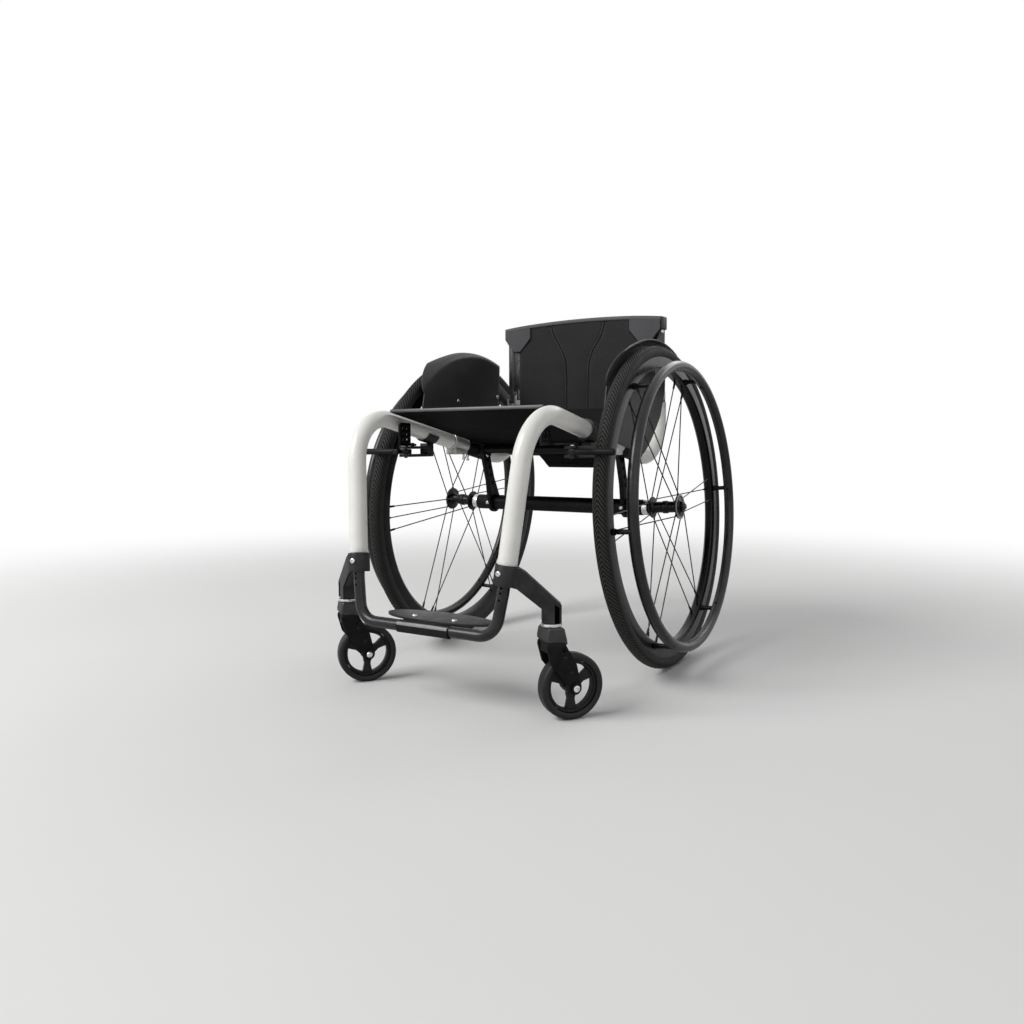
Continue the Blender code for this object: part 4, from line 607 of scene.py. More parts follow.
def addSleeves():
    radius = rail["radius"] + bracket["wall"]
    start = railPoint(rail["sleeveStart"]) + railBack * rail["gap"]
    end = railPoint(rail["sleeveEnd"])
    middle = (start + end) / 2
    reach = sleeve["blockShare"] * (end - start).length
    for name, side in sides:
        low = Vector((middle.x - radius * 0.75, middle.y - reach, middle.z - radius - bracket["lugDrop"]))
        high = Vector((middle.x + radius * 0.75, middle.y + reach, middle.z - radius * 0.5))
        shell = joined([bar(radius, start, end, 48, 0.0009), block(low, high, 0.0020, 3)])
        pairPiece("clampSleeve", shell, paleAnodised, name, "tube_sleeve")
        # painted shade: a thin black strip stands in for the shade in the lug's slit
        slitShade = block((low.x + 0.004, low.y - 0.0002, low.z + sleeve["slitLow"]),
                     (high.x - 0.004, high.y + 0.0002, low.z + sleeve["slitHigh"]), 0.0002, 1)
        pairPiece("sleeveSlit", slitShade, blackNylon, name)
        screws = []
        for back, height in sleeve["screws"]:
            spot = Vector((sleeve["screwX"], axleY + back, height))
            screws.append(buttonScrew(spot, (0, 0, -1), sleeve["head"], sleeve["headThick"]))
            screws.append(bar(sleeve["shank"], spot, spot + Vector((0, 0, low.z + 0.001 - spot.z)), 20))
        pairPiece("sleeveScrews", joined(screws), brightSteel, name)
    print("sleeves made")


def addAxleBrackets():
    radius = rail["radius"] + bracket["wall"]
    top = railPoint(bracket["topBack"])
    inner = bracket["x"] - bracket["thick"] / 2
    half = bracket["width"] / 2
    rise = Vector((0, top.y - axleY, top.z - axleTubeZ))
    tilt = math.atan2(-rise.y, rise.z)
    base = Matrix.Translation((bracket["x"], axleY, axleTubeZ)) @ Matrix.Rotation(tilt, 4, "X") @ intoYZ
    outer = bracket["axleTube"] + bracket["clampWall"]
    turns = circlePoints((0, 0), outer, 30, math.pi * 0.90, math.pi * 2.10)
    outline = turns + [(half, rise.length * 0.45), (half, rise.length), (-half, rise.length),
                       (-half, rise.length * 0.45)]
    holes = [circlePoints((0, rise.length * share), bracket["hole"], 20)
             for share in (0.38, 0.53, 0.68, 0.83)]
    holes.append(circlePoints((0, 0), bracket["axleTube"] + 0.0003, 40))
    for name, side in sides:
        start = railPoint(rail["sleeveEnd"]) + railBack * rail["gap"]
        barrel = bar(radius, start, railPoint(rail["bracketEnd"]), 48, 0.0009)
        underSeat = seatTop(bracket["topBack"] + half) - bracket["seatThick"] - rail["gap"]
        boss = block((inner, top.y - half, top.z - half), (top.x, top.y + half, underSeat), 0.0015, 2)
        plate = moved(cutPlate(outline, holes, bracket["thick"], 0.0010), base)
        ear = block((bracket["x"] - 0.006, axleY - outer - 0.006, axleTubeZ - 0.0045),
                    (bracket["x"] + 0.006, axleY - outer + 0.006, axleTubeZ + 0.0045), 0.0008)
        pairPiece("axleBracket", joined([barrel, boss, plate, ear]), blackAnodised, name, "axle_bracket")
        screws = []
        for share in (0.90, 0.99):
            spot = Vector((inner, axleY, axleTubeZ)) + rise * share
            screws.append(buttonScrew(spot, (-1, 0, 0), 0.0042, 0.0024))
        spot = (bracket["x"], axleY - outer - 0.006, axleTubeZ)
        screws.append(buttonScrew(spot, (0, -1, 0), 0.0036, 0.0022))
        pairPiece("bracketScrews", joined(screws), brightSteel, name)
    tube = bar(bracket["axleTube"], (-bracket["axleTubeEnd"], axleY, axleTubeZ),
               (bracket["axleTubeEnd"], axleY, axleTubeZ), 48, 0.0006)
    finishPiece("axleTube", tube, blackAnodised, "frame", ["axle_tube"])
    height = (seatTop(bracket["crossBack"]) - bracket["seatThick"] - bracket["crossTube"] / seatNormal.z
              - rail["gap"])
    end = inner - rail["gap"]
    cross = bar(bracket["crossTube"], (-end, axleY + bracket["crossBack"], height),
                (end, axleY + bracket["crossBack"], height), 36, 0.0006)
    finishPiece("seatCrossTube", cross, blackAnodised, "frame", ["seat_cross_tube"])
    print("axle brackets and cross tubes made")


addSleeves()
addAxleBrackets()

# seat
seat = {"front": -0.330, "rear": 0.085, "thick": 0.0055, "trimDepth": 0.0045}


def addSeat():
    def innerHalf(back):
        return railPoint(back).x - rail["radius"] - rail["gap"]

    # the plate is drawn flat, then laid on the slope
    slopeRun = 1 / seatNormal.z
    right = [(innerHalf(back), back) for back in (seat["front"], seat["rear"])]
    outline = [(x, back * slopeRun) for x, back in right]
    outline += [(-x, back * slopeRun) for x, back in reversed(right)]
    plate = cutPlate(roundedCorners(outline, 0.0015, 2), [], seat["thick"], 0.0008)
    lay = Matrix.Rotation(-math.atan(rail["slope"]), 4, "X")
    middle = Vector((0, axleY, rail["height"] + seatLift)) - seatNormal * seat["thick"] / 2
    finishPiece("seatPlate", moved(plate, Matrix.Translation(middle) @ lay), seatSheet, "frame",
                ["seat_plate"])
    front = (seat["front"] - seat["trimDepth"]) * slopeRun
    rear = (seat["front"] - rail["gap"]) * slopeRun
    half = innerHalf(seat["front"] - seat["trimDepth"]) - rail["gap"]
    trim = block((-half, front, -seat["thick"] / 2), (half, rear, seat["thick"] / 2), 0.0012, 3)
    finishPiece("seatEdgeTrim", moved(trim, Matrix.Translation(middle) @ lay), trimSatin, "frame",
                ["seat_edge_trim"])
    print("seat laid")


addSeat()

# side guards
guard = {"thick": 0.0028, "x": 0.1915, "lipX": 0.2095, "crease": 0.296, "creaseDrop": 0.013, "top": 0.3085,
         "topRise": 0.0058, "frontAngle": -40.5, "rearAngle": 17.5, "lipFront": -28.5, "lipRear": 20.0,
         "footFront": -0.203, "footRear": 0.070, "footDrop": 0.006, "heelRise": 0.092, "bandWall": 0.0035,
         "stations": 72, "levels": 40, "screws": ((-0.072, 0.5037), (0.0775, 0.5187))}


def guardPoint(share, level):
    # three fifths of the levels climb the wall, the rest turn the lip outwards
    turn = max(0.0, level - 0.6) / 0.4 * math.pi / 2
    out = 1 - math.cos(turn)
    front = guard["frontAngle"] + (guard["lipFront"] - guard["frontAngle"]) * out
    rear = guard["rearAngle"] + (guard["lipRear"] - guard["rearAngle"]) * out
    angle = math.radians(front + (rear - front) * share)
    crease = guard["crease"] - guard["creaseDrop"] * max(0.0, 1 - share / 0.42) ** 2
    top = guard["top"] + guard["topRise"] * max(0.0, 1 - share / 0.3) ** 2
    radius = crease + (top - crease) * math.sin(turn)
    across = guard["x"] + (guard["lipX"] - guard["x"]) * out
    high = Vector((across, axleY + radius * math.sin(angle), hubZ + radius * math.cos(angle)))
    if level >= 0.6:
        return high
    heel = max(0.0, share * 3 - 2)
    foot = guard["footFront"] + (guard["footRear"] - guard["footFront"]) * share
    beside = railPoint(foot).x + rail["radius"] + guard["bandWall"] + rail["gap"] + guard["thick"] / 2
    rise = guard["heelRise"] * heel ** 1.3 - guard["footDrop"]
    low = Vector((beside, axleY + foot, rail["height"] - rail["slope"] * foot + rise))
    middle = low.lerp(high, 0.45)
    middle.x = guard["x"]
    middle.y += (high.y - middle.y) * heel * 0.7
    along = level / 0.6
    if along > 0.45:
        return middle.lerp(high, (along - 0.45) / 0.55)
    return low.lerp(middle, along / 0.45)


def addGuards():
    for name, side in sides:
        bm = bmesh.new()
        bmesh.ops.create_grid(bm, x_segments=guard["stations"], y_segments=guard["levels"], size=0.5)
        for vert in bm.verts:
            vert.co = guardPoint(vert.co.x + 0.5, vert.co.y + 0.5)
        bmesh.ops.recalc_face_normals(bm, faces=bm.faces)
        flipped(bm, side)
        piece = finishPiece("sideGuard_" + name, bm, guardSheet, "frame", ["side_guard_" + name])
        solidWall(piece, guard["thick"]).use_even_offset = True
        edge = piece.modifiers.new("trimmedEdge", "BEVEL")
        edge.width = 0.0006
        edge.segments = 2
        edge.limit_method = "ANGLE"
        face = guard["x"] - guard["thick"] / 2
        screws = [buttonScrew((face, axleY + back, height), (-1, 0, 0), 0.0036, 0.0020)
                  for back, height in guard["screws"]]
        pairPiece("guardScrews", joined(screws), brightSteel, name)
    print("side guards bent")


addGuards()

# footrest
footrest = {"tube": 0.0092, "barHeight": 0.127, "barBack": -0.4425, "barHalf": 0.130, "bend": 0.034,
            "straight": 0.010, "kneeBend": 0.040, "clampHeight": 0.031, "hole": 0.0021,
            "holes": (0.0035, 0.0145, 0.0255), "plateHalf": 0.1035, "plateDepth": 0.0335,
            "plateBack": -0.4016, "plateTop": 0.1385, "plateThick": 0.004, "holderHalf": 0.050,
            "holderWall": 0.0025, "screwX": 0.039, "screwForward": 0.016}


def addFootrest():
    top = footAt + legDown * rail["gap"]
    knee = top + legDown * (footrest["clampHeight"] + footrest["straight"])
    corner = Vector((footrest["barHalf"], axleY + footrest["barBack"], footrest["barHeight"]))
    right = [top, knee, corner]
    left = [Vector((-point.x, point.y, point.z)) for point in reversed(right)]
    path = roundedPath(right + left, [footrest["kneeBend"], footrest["bend"], footrest["bend"],
                                      footrest["kneeBend"]], 12)
    tube = sweptTube(evenly(path, 0.010), footrest["tube"], 32)
    finishPiece("footTube", tube, handSatin, "frame", ["foot_tube"])
    # dark plugs set into the unpierced tube paint the shade of its height holes
    rings = []
    fine = evenly(path, 0.0005)
    for reach in footrest["holes"]:
        steps = round((footrest["clampHeight"] + reach) / 0.0005)
        centre, along = fine[steps], (fine[steps + 1] - fine[steps]).normalized()
        facing = (Vector((0, -1, 0)) + along * along.y).normalized()
        spot = centre + facing * (footrest["tube"] + 0.0002)
        for side in (1, -1):
            rings.append(flipped(bar(footrest["hole"], spot, spot - facing * 0.002, 20), side))
    finishPiece("heightHoles", joined(rings), holeShade, "frame")

    outline = [(footrest["plateHalf"] * math.cos(turn), footrest["plateDepth"] * math.sin(turn))
               for turn in [2 * math.pi * step / 72 for step in range(72)]]
    plate = cutPlate(outline, [], footrest["plateThick"], 0.0018, 4)
    centre = Vector((0, axleY + footrest["plateBack"], footrest["plateTop"] - footrest["plateThick"] / 2))
    finishPiece("footplatePad", shifted(plate, centre), plateNylon, "frame", ["footplate"])
    bottom = footrest["barHeight"] - footrest["tube"] - footrest["holderWall"] * 0.5
    shelf = footrest["plateTop"] - footrest["plateThick"] - rail["gap"]
    barY = axleY + footrest["barBack"]
    front = barY - footrest["tube"] - footrest["holderWall"] * 0.5
    behind = barY + footrest["tube"] + footrest["holderWall"]
    lip = axleY + footrest["plateBack"] - footrest["plateDepth"] - 0.0009
    lipTop = footrest["plateTop"] - 0.0045
    back = axleY + footrest["plateBack"] + footrest["plateDepth"] / 2
    outline = [(front, bottom), (behind, bottom), (behind, shelf - 0.006), (back, shelf - 0.004),
               (back, shelf), (lip, shelf), (lip, lipTop), (front, lipTop)]
    outline = roundedCorners(outline, [0.0085, 0.0085, 0.003, 0.001, 0.0005, 0.0008, 0.0008, 0.0045], 6)
    holes = [circlePoints((barY, footrest["barHeight"]), footrest["tube"] + 0.0002, 32)]
    holder = cutPlate(outline, holes, footrest["holderHalf"] * 2, 0.0005, 2)
    finishPiece("footplateHolder", moved(holder, intoYZ), blackAnodised, "frame", ["footplate_bracket"])
    rib = block((-footrest["holderHalf"] + 0.0008, front - 0.0002, lipTop - 0.0044),
                (footrest["holderHalf"] - 0.0008, lip + 0.0004, lipTop + 0.0006), 0.0010, 2)
    finishPiece("holderRib", rib, greyAnodised, "frame")
    for name, side in sides:
        spot = (side * footrest["screwX"], axleY + footrest["plateBack"] - footrest["screwForward"],
                footrest["plateTop"] + 0.0003)
        finishPiece("plateScrew_" + name, buttonScrew(spot, (0, 0, 1)), brightSteel, "frame",
                    ["footplate_screw_" + name])
        leg = footAt + legDown * (rail["gap"] + footrest["clampHeight"] * 0.42)
        facing = Vector((-0.14, -1, 0)).normalized()
        square = (facing - legDown * facing.dot(legDown)).normalized()
        bolt = buttonScrew(leg + square * (rail["radius"] + 0.003 + 0.0003), square)
        pairPiece("clampBolt", bolt, brightSteel, name, "clamp_bolt")
    print("footrest made")


addFootrest()

# casters
caster = {"radius": 0.0508, "width": 0.0235, "rim": 0.0395, "hub": 0.0115, "trail": 0.0315, "swivel": 36.8,
          "x": 0.2015, "back": -0.3967, "armFoot": 0.150, "armThick": 0.029, "armKnee": 0.178,
          "clampWall": 0.003, "clampHeight": 0.031, "ringRadius": 0.0160, "ringBore": 0.0064,
          "ringThick": 0.0045, "forkWidth": 0.0390, "forkSlot": 0.0285, "boss": 0.0105, "hole": 0.0034,
          "holeAt": (0.0112, 0.1090), "axle": 0.004, "nut": 0.0075, "nutHeight": 0.0045,
          "forkScrews": ((0.0145, 0.0978), (0.0250, 0.0745)), "cheek": 0.0034, "slotWall": 0.0028,
          "slotReach": 0.0105}


# from the caster's axle, with +Z along it, to the fork's own frame
ontoAxle = Matrix.Translation((caster["trail"], 0, caster["radius"])) @ intoXZ


def forkPlace(side):
    turn = math.radians(caster["swivel"])
    trail = Vector((math.sin(turn), math.cos(turn), 0))
    across = Vector((-trail.y, trail.x, 0))
    facing = Matrix((trail, across, Vector((0, 0, 1)))).transposed().to_4x4()
    return Matrix.Translation((side * caster["x"], axleY + caster["back"], 0)) @ facing


def addCasterArms():
    foot = footAt + legDown * rail["gap"]
    low = foot + legDown * caster["clampHeight"]
    across = Vector((caster["x"] - low.x, axleY + caster["back"] - low.y, 0))
    reach = across.length
    across.normalize()
    half = caster["armThick"] / 2
    top = rail["foot"][2] - 0.002
    outline = [(0.010, top - 0.030), (0.006, top - 0.004), (0.019, top), (0.032, top - 0.008),
               (reach + half, caster["armKnee"]), (reach + half, caster["armFoot"] + 0.0005),
               (reach - half, caster["armFoot"] + 0.0005), (reach - half, caster["armKnee"] - 0.006),
               (0.018, top - 0.032)]
    wall, gap = reach + half - caster["slotWall"], reach + half - caster["slotReach"]
    slotted = outline[:6] + [(wall, caster["armFoot"] + 0.0005), (wall, caster["armKnee"] - 0.0035),
                             (gap, caster["armKnee"] + 0.0010),
                             (gap, caster["armFoot"] + 0.0005)] + outline[6:]
    for name, side in sides:
        # a core between two cheeks, whose ends are slotted beside the barrel; the slots are lined with
        # painted shade
        turned = Matrix((across, Vector((0, 0, 1)), across.cross(Vector((0, 0, 1))))).transposed().to_4x4()
        laid = Matrix.Translation((low.x, low.y, 0)) @ turned
        deep = (caster["armThick"] - 0.004) / 2
        core = moved(cutPlate(roundedCorners(outline, 0.0025, 3), [], deep * 2 - 0.0066, 0.0004), laid)
        slotLine = [(gap - 0.0006, caster["armFoot"] + 0.0006), (wall + 0.0006, caster["armFoot"] + 0.0006),
                    (wall + 0.0006, caster["armKnee"] - 0.0029), (gap - 0.0006, caster["armKnee"] + 0.0016)]
        slotShade = moved(cutPlate(slotLine, [], deep * 2 - 0.0060, 0.0001, 1), laid)
        cheeks = []
        for hand in (1, -1):
            cheek = cutPlate(roundedCorners(slotted, 0.0012, 2), [], caster["cheek"], 0.0009, 3)
            cheeks.append(moved(shifted(cheek, (0, 0, hand * (deep - 0.0017))), laid))
        flat = joined(cheeks + [core])
        clamp = bar(rail["radius"] + caster["clampWall"], low, foot, 48, 0.0010)
        barrel = bar(half - 0.0040, (caster["x"], axleY + caster["back"], caster["armFoot"]),
                     (caster["x"], axleY + caster["back"], caster["armKnee"] - 0.004), 40, 0.0010)
        pairPiece("casterArm", joined([flat, clamp]), castCharcoal, name, "caster_arm")
        pairPiece("armSlots", slotShade, holeShade, name)
        pairPiece("steeringBarrel", barrel, blackRim, name)
        ringTop = caster["armFoot"] - 0.0003
        ringFoot = ringTop - caster["ringThick"]
        inner, outer = caster["ringBore"], caster["ringRadius"]
        profile = roundedCorners([(inner, ringFoot), (outer, ringFoot), (outer, ringTop), (inner, ringTop)],
                                 0.0009, 3)
        ring = shifted(spun(profile, 48), (side * caster["x"], axleY + caster["back"], 0))
        finishPiece("steeringRing_" + name, ring, brightSteel, "frame", ["headset_ring_" + name])
    print("caster arms made")


def addForks():
    crown = caster["armFoot"] - 0.0003 - caster["ringThick"] - 0.0005
    slotTop = 2 * caster["radius"] + 0.005
    tail = caster["trail"] + caster["boss"]
    legThick = (caster["forkWidth"] - caster["forkSlot"]) / 2
    boss = circlePoints((caster["trail"], caster["radius"]), caster["boss"], 16, math.radians(10),
                        math.radians(-190))
    # two blades let into a faceted crown, whose faces end in an arch over them
    outline = [(-0.0150, slotTop + 0.016), (0.0150, slotTop + 0.016), (0.0166, slotTop + 0.010),
               (tail - 0.0085, 0.088)] + boss
    outline += [(-0.009, 0.090), (-0.0160, slotTop + 0.0100)]
    holes = [circlePoints(caster["holeAt"], caster["hole"], 20)]
    holes.append(circlePoints((caster["trail"], caster["radius"]), caster["axle"] + 0.0003, 20))
    crownLine = [(-0.0135, crown), (0.0130, crown), (0.0178, slotTop + 0.019), (0.0190, slotTop + 0.0105),
                 (0.0115, slotTop + 0.0135), (0.0040, slotTop + 0.0150), (-0.0040, slotTop + 0.0150),
                 (-0.0110, slotTop + 0.0150), (-0.0158, slotTop + 0.0175), (-0.0162, slotTop + 0.0240)]
    webLine = [(-0.0140, slotTop + 0.018), (0.0160, slotTop + 0.018), (0.0165, slotTop), (-0.0125, slotTop)]
    for name, side in sides:
        place = forkPlace(side)
        body = "caster_swivel_" + name
        parts = []
        bushes = []
        for hand in (1, -1):
            blade = legThick - 0.0010
            leg = moved(cutPlate(outline, [loop[:] for loop in holes], blade, 0.0012, 3), intoXZ)
            parts.append(shifted(leg, (0, hand * (caster["forkSlot"] + blade) / 2, 0)))
            face = hand * (caster["forkSlot"] / 2 + blade)
            bushes += [buttonScrew((x, face, z), (0, hand, 0), 0.0034, 0.0012)
                       for x, z in caster["forkScrews"]]
        parts.append(moved(cutPlate(webLine, [], caster["forkSlot"] + 0.0010, 0.0004), intoXZ))
        top = moved(cutPlate(crownLine, [], caster["forkWidth"], 0.0030, 1), intoXZ)
        stem = bar(0.006, (0, 0, crown - 0.004), (0, 0, caster["armFoot"] + 0.019), 32, 0.0006)
        pairPiece("forkCrown", joined([top, stem]), castCharcoal, name, body=body, place=place)
        pairPiece("forkScrews", joined(bushes), blackRim, name, body=body, place=place)
        pairPiece("casterFork", joined(parts), blackAnodised, name, "caster_fork", body=body, place=place)
        end = caster["forkWidth"] / 2 + 0.0003
        head = caster["nut"] * 0.72
        tip = end + caster["nutHeight"]
        profile = [(0, -tip + 0.0015), (0.0028, -tip + 0.0015), (0.0030, -tip), (head * 0.72, -tip),
                   (head * 0.94, -tip + 0.0012), (head, -end - 0.0012), (head, -end), (caster["axle"], -end),
                   (caster["axle"], end), (head, end), (head, end + 0.0012), (head * 0.94, tip - 0.0012),
                   (head * 0.72, tip), (0.0030, tip), (0.0028, tip - 0.0015), (0, tip - 0.0015)]
        bolt = moved(spun(profile, 32, closed=False), ontoAxle)
        pairPiece("casterAxle", bolt, brightSteel, name, "caster_axle", body, place)
        rings = []
        for hand in (1, -1):
            line = [(head * 0.9, hand * end), (caster["nut"], hand * end),
                    (caster["nut"], hand * (end + 0.0012)), (head * 0.9, hand * (end + 0.0012))]
            rings.append(moved(spun(roundedCorners(line, 0.0004, 2), 32), ontoAxle))
        pairPiece("axleWashers", joined(rings), blackRim, name, None, body, place)
    print("forks made")


def addCasterWheels():
    half = caster["width"] / 2
    inner = caster["rim"] + 0.0003
    outer = caster["radius"]
    profile = [(inner + 0.0002, half * 0.60), (inner + 0.0009, half * 0.84), (inner + 0.0024, half * 0.95),
               (outer - 0.0050, half)]
    profile += [(outer - 0.0050 + 0.0050 * math.sin(turn), half - 0.0050 + 0.0050 * math.cos(turn))
                for turn in [math.radians(15 * step) for step in range(1, 6)]]
    profile += [(outer, half - 0.0055), (outer, 0.0006), (outer - 0.0003, 0.0002)]
    profile += [(radius, -height) for radius, height in reversed(profile)]
    lip = half * 0.70
    wall = caster["rim"] - 0.0045
    rimLine = [(wall, -lip * 0.7), (wall + 0.002, -lip), (caster["rim"], -lip), (caster["rim"], lip),
               (wall + 0.002, lip), (wall, lip * 0.7)]
    hubHalf = caster["forkSlot"] / 2 - 0.0005
    hub = caster["hub"]
    hubLine = [(caster["axle"] + 0.0004, -hubHalf), (hub * 0.7, -hubHalf), (hub * 0.78, -hubHalf * 0.8),
               (hub, -hubHalf * 0.66), (hub, hubHalf * 0.66), (hub * 0.78, hubHalf * 0.8),
               (hub * 0.7, hubHalf), (caster["axle"] + 0.0004, hubHalf)]
    for name, side in sides:
        place = forkPlace(side) @ ontoAxle
        body = "caster_wheel_" + name
        pairPiece("casterTyre", spun(profile, 96), casterRubber, name, "caster_tyre", body=body,
                  place=place)
        parts = [spun(roundedCorners(rimLine, 0.0006, 2), 96), spun(roundedCorners(hubLine, 0.0006, 2), 48)]
        for index in range(3):
            outline = [(hub - 0.002, -0.0075), (0.020, -0.0050), (wall + 0.0015, -0.0085),
                       (wall + 0.0015, 0.0085), (0.020, 0.0050), (hub - 0.002, 0.0075)]
            spoke = cutPlate(roundedCorners(outline, 0.002, 3), [], 0.0096, 0.0014, 3)
            parts.append(moved(spoke, Matrix.Rotation(math.radians(30 + 120 * index), 4, "Z")))
        pairPiece("casterWheel", joined(parts), blackNylon, name, "caster_wheel", body=body, place=place)
    print("caster wheels made")


addCasterArms()
addForks()
addCasterWheels()

# rear wheels, built about their own axis: +Z outward, +Y up, +X to the back
wheel = {"radius": 0.298, "section": 0.0129, "rimDepth": 0.020, "rimWall": 0.0009, "shoulder": 0.006,
         "treadRows": 460, "round": 28, "treadColumns": 5, "treadTwist": 0.75, "treadDepth": 0.0020,
         "groups": 6, "groupStart": 25.0, "spread": 5.2, "pairTurn": 38.0, "singleTurn": 50.0,
         "spoke": 0.0011, "rimSide": 0.003, "hubInner": -0.030, "hubOuter": 0.031, "hubBody": 0.0105,
         "flange": 0.0225, "innerFlange": 0.020, "flangeThick": 0.003, "collar": 0.0125, "pin": 0.0063,
         "head": 0.010, "headThick": 0.004, "button": 0.0052, "buttonStand": 0.004, "plugReach": 0.060,
         "valveTurn": 5.0, "valve": ((0, -0.002), (0.0046, -0.002), (0.0046, 0.0016), (0.0040, 0.0024),
                                     (0.0027, 0.0024), (0.0027, 0.0100), (0, 0.0100)),
         "valveCap": ((0, 0.0095), (0.0033, 0.0095), (0.0033, 0.0225), (0.0025, 0.0240), (0, 0.0240))}
handrim = {"radius": 0.2566, "tube": 0.0095, "offset": 0.0428, "tabs": 6, "tab": 0.0042}
rimInner = wheel["radius"] - 2 * wheel["section"] - wheel["rimDepth"]
rimHalf = (wheel["section"] + 0.0003 / math.cos(math.pi / 8)) * math.sin(math.pi / 4) + wheel["rimWall"]


def wheelPlace(side):
    out = Vector((side * outward.x, 0, outward.z))
    up = Vector((-side * outward.z, 0, outward.x))
    facing = Matrix((Vector((0, 1, 0)), up, out)).transposed().to_4x4()
    return Matrix.Translation((side * wheelX, axleY, hubZ)) @ facing


def polar(radius, angle, height):
    return Vector((radius * math.sin(angle), radius * math.cos(angle), height))


def treadedTyre():
    # round section; every second row of the crown is a groove, and the rows lean into chevrons
    centre = wheel["radius"] - wheel["section"]
    count = wheel["round"]
    profile = []
    for step in range(count):
        turn = 2 * math.pi * step / count
        ridge = 0.0004 if step in (7, 8, count - 7, count - 8) else 0.0
        size = wheel["section"] - ridge
        profile.append((centre + size * math.cos(turn), size * math.sin(turn)))
    bm = spun(profile, wheel["treadRows"])
    rowTurn = 2 * math.pi / wheel["treadRows"]

    def columnOf(point):
        flat = math.hypot(point.x, point.y) - centre
        return math.degrees(math.atan2(point.z, flat)) / (360 / count)

    grooves = []
    for face in bm.faces:
        middle = face.calc_center_median()
        row = int((math.atan2(middle.y, middle.x) % (2 * math.pi)) / rowTurn)
        if abs(columnOf(middle)) < wheel["treadColumns"] and row % 2 == 0:
            grooves.append(face)
    for vert in bm.verts:
        column = min(abs(columnOf(vert.co)), wheel["treadColumns"])
        if abs(columnOf(vert.co)) < wheel["treadColumns"] + 0.5:
            vert.co = Matrix.Rotation(math.radians(wheel["treadTwist"]) * column, 3, "Z") @ vert.co
    bmesh.ops.inset_region(bm, faces=grooves, thickness=0.0008, depth=-wheel["treadDepth"],
                           use_even_offset=True, use_boundary=True)
    return bm


def spokeLines():
    rimEnd = rimInner + 0.002
    flanges = ((wheel["innerFlange"], wheel["hubInner"] + wheel["flangeThick"] * 1.5, -wheel["rimSide"]),
               (wheel["flange"], wheel["hubOuter"] - wheel["flangeThick"] * 1.5, wheel["rimSide"]))
    for group in range(wheel["groups"]):
        middle = math.radians(wheel["groupStart"] + 360 / wheel["groups"] * group)
        pair = flanges[group % 2]
        single = flanges[1 - group % 2]
        spread = math.radians(wheel["spread"])
        turn = math.radians(wheel["pairTurn"])
        for rimTurn, hubTurn, flange in ((-spread, -turn, pair), (spread, turn, pair),
                                         (0, -math.radians(wheel["singleTurn"]), single)):
            radius, height, rimAt = flange
            yield (polar(radius - wheel["spoke"] * 2, middle + hubTurn, height),
                   polar(rimEnd, middle + rimTurn, rimAt))


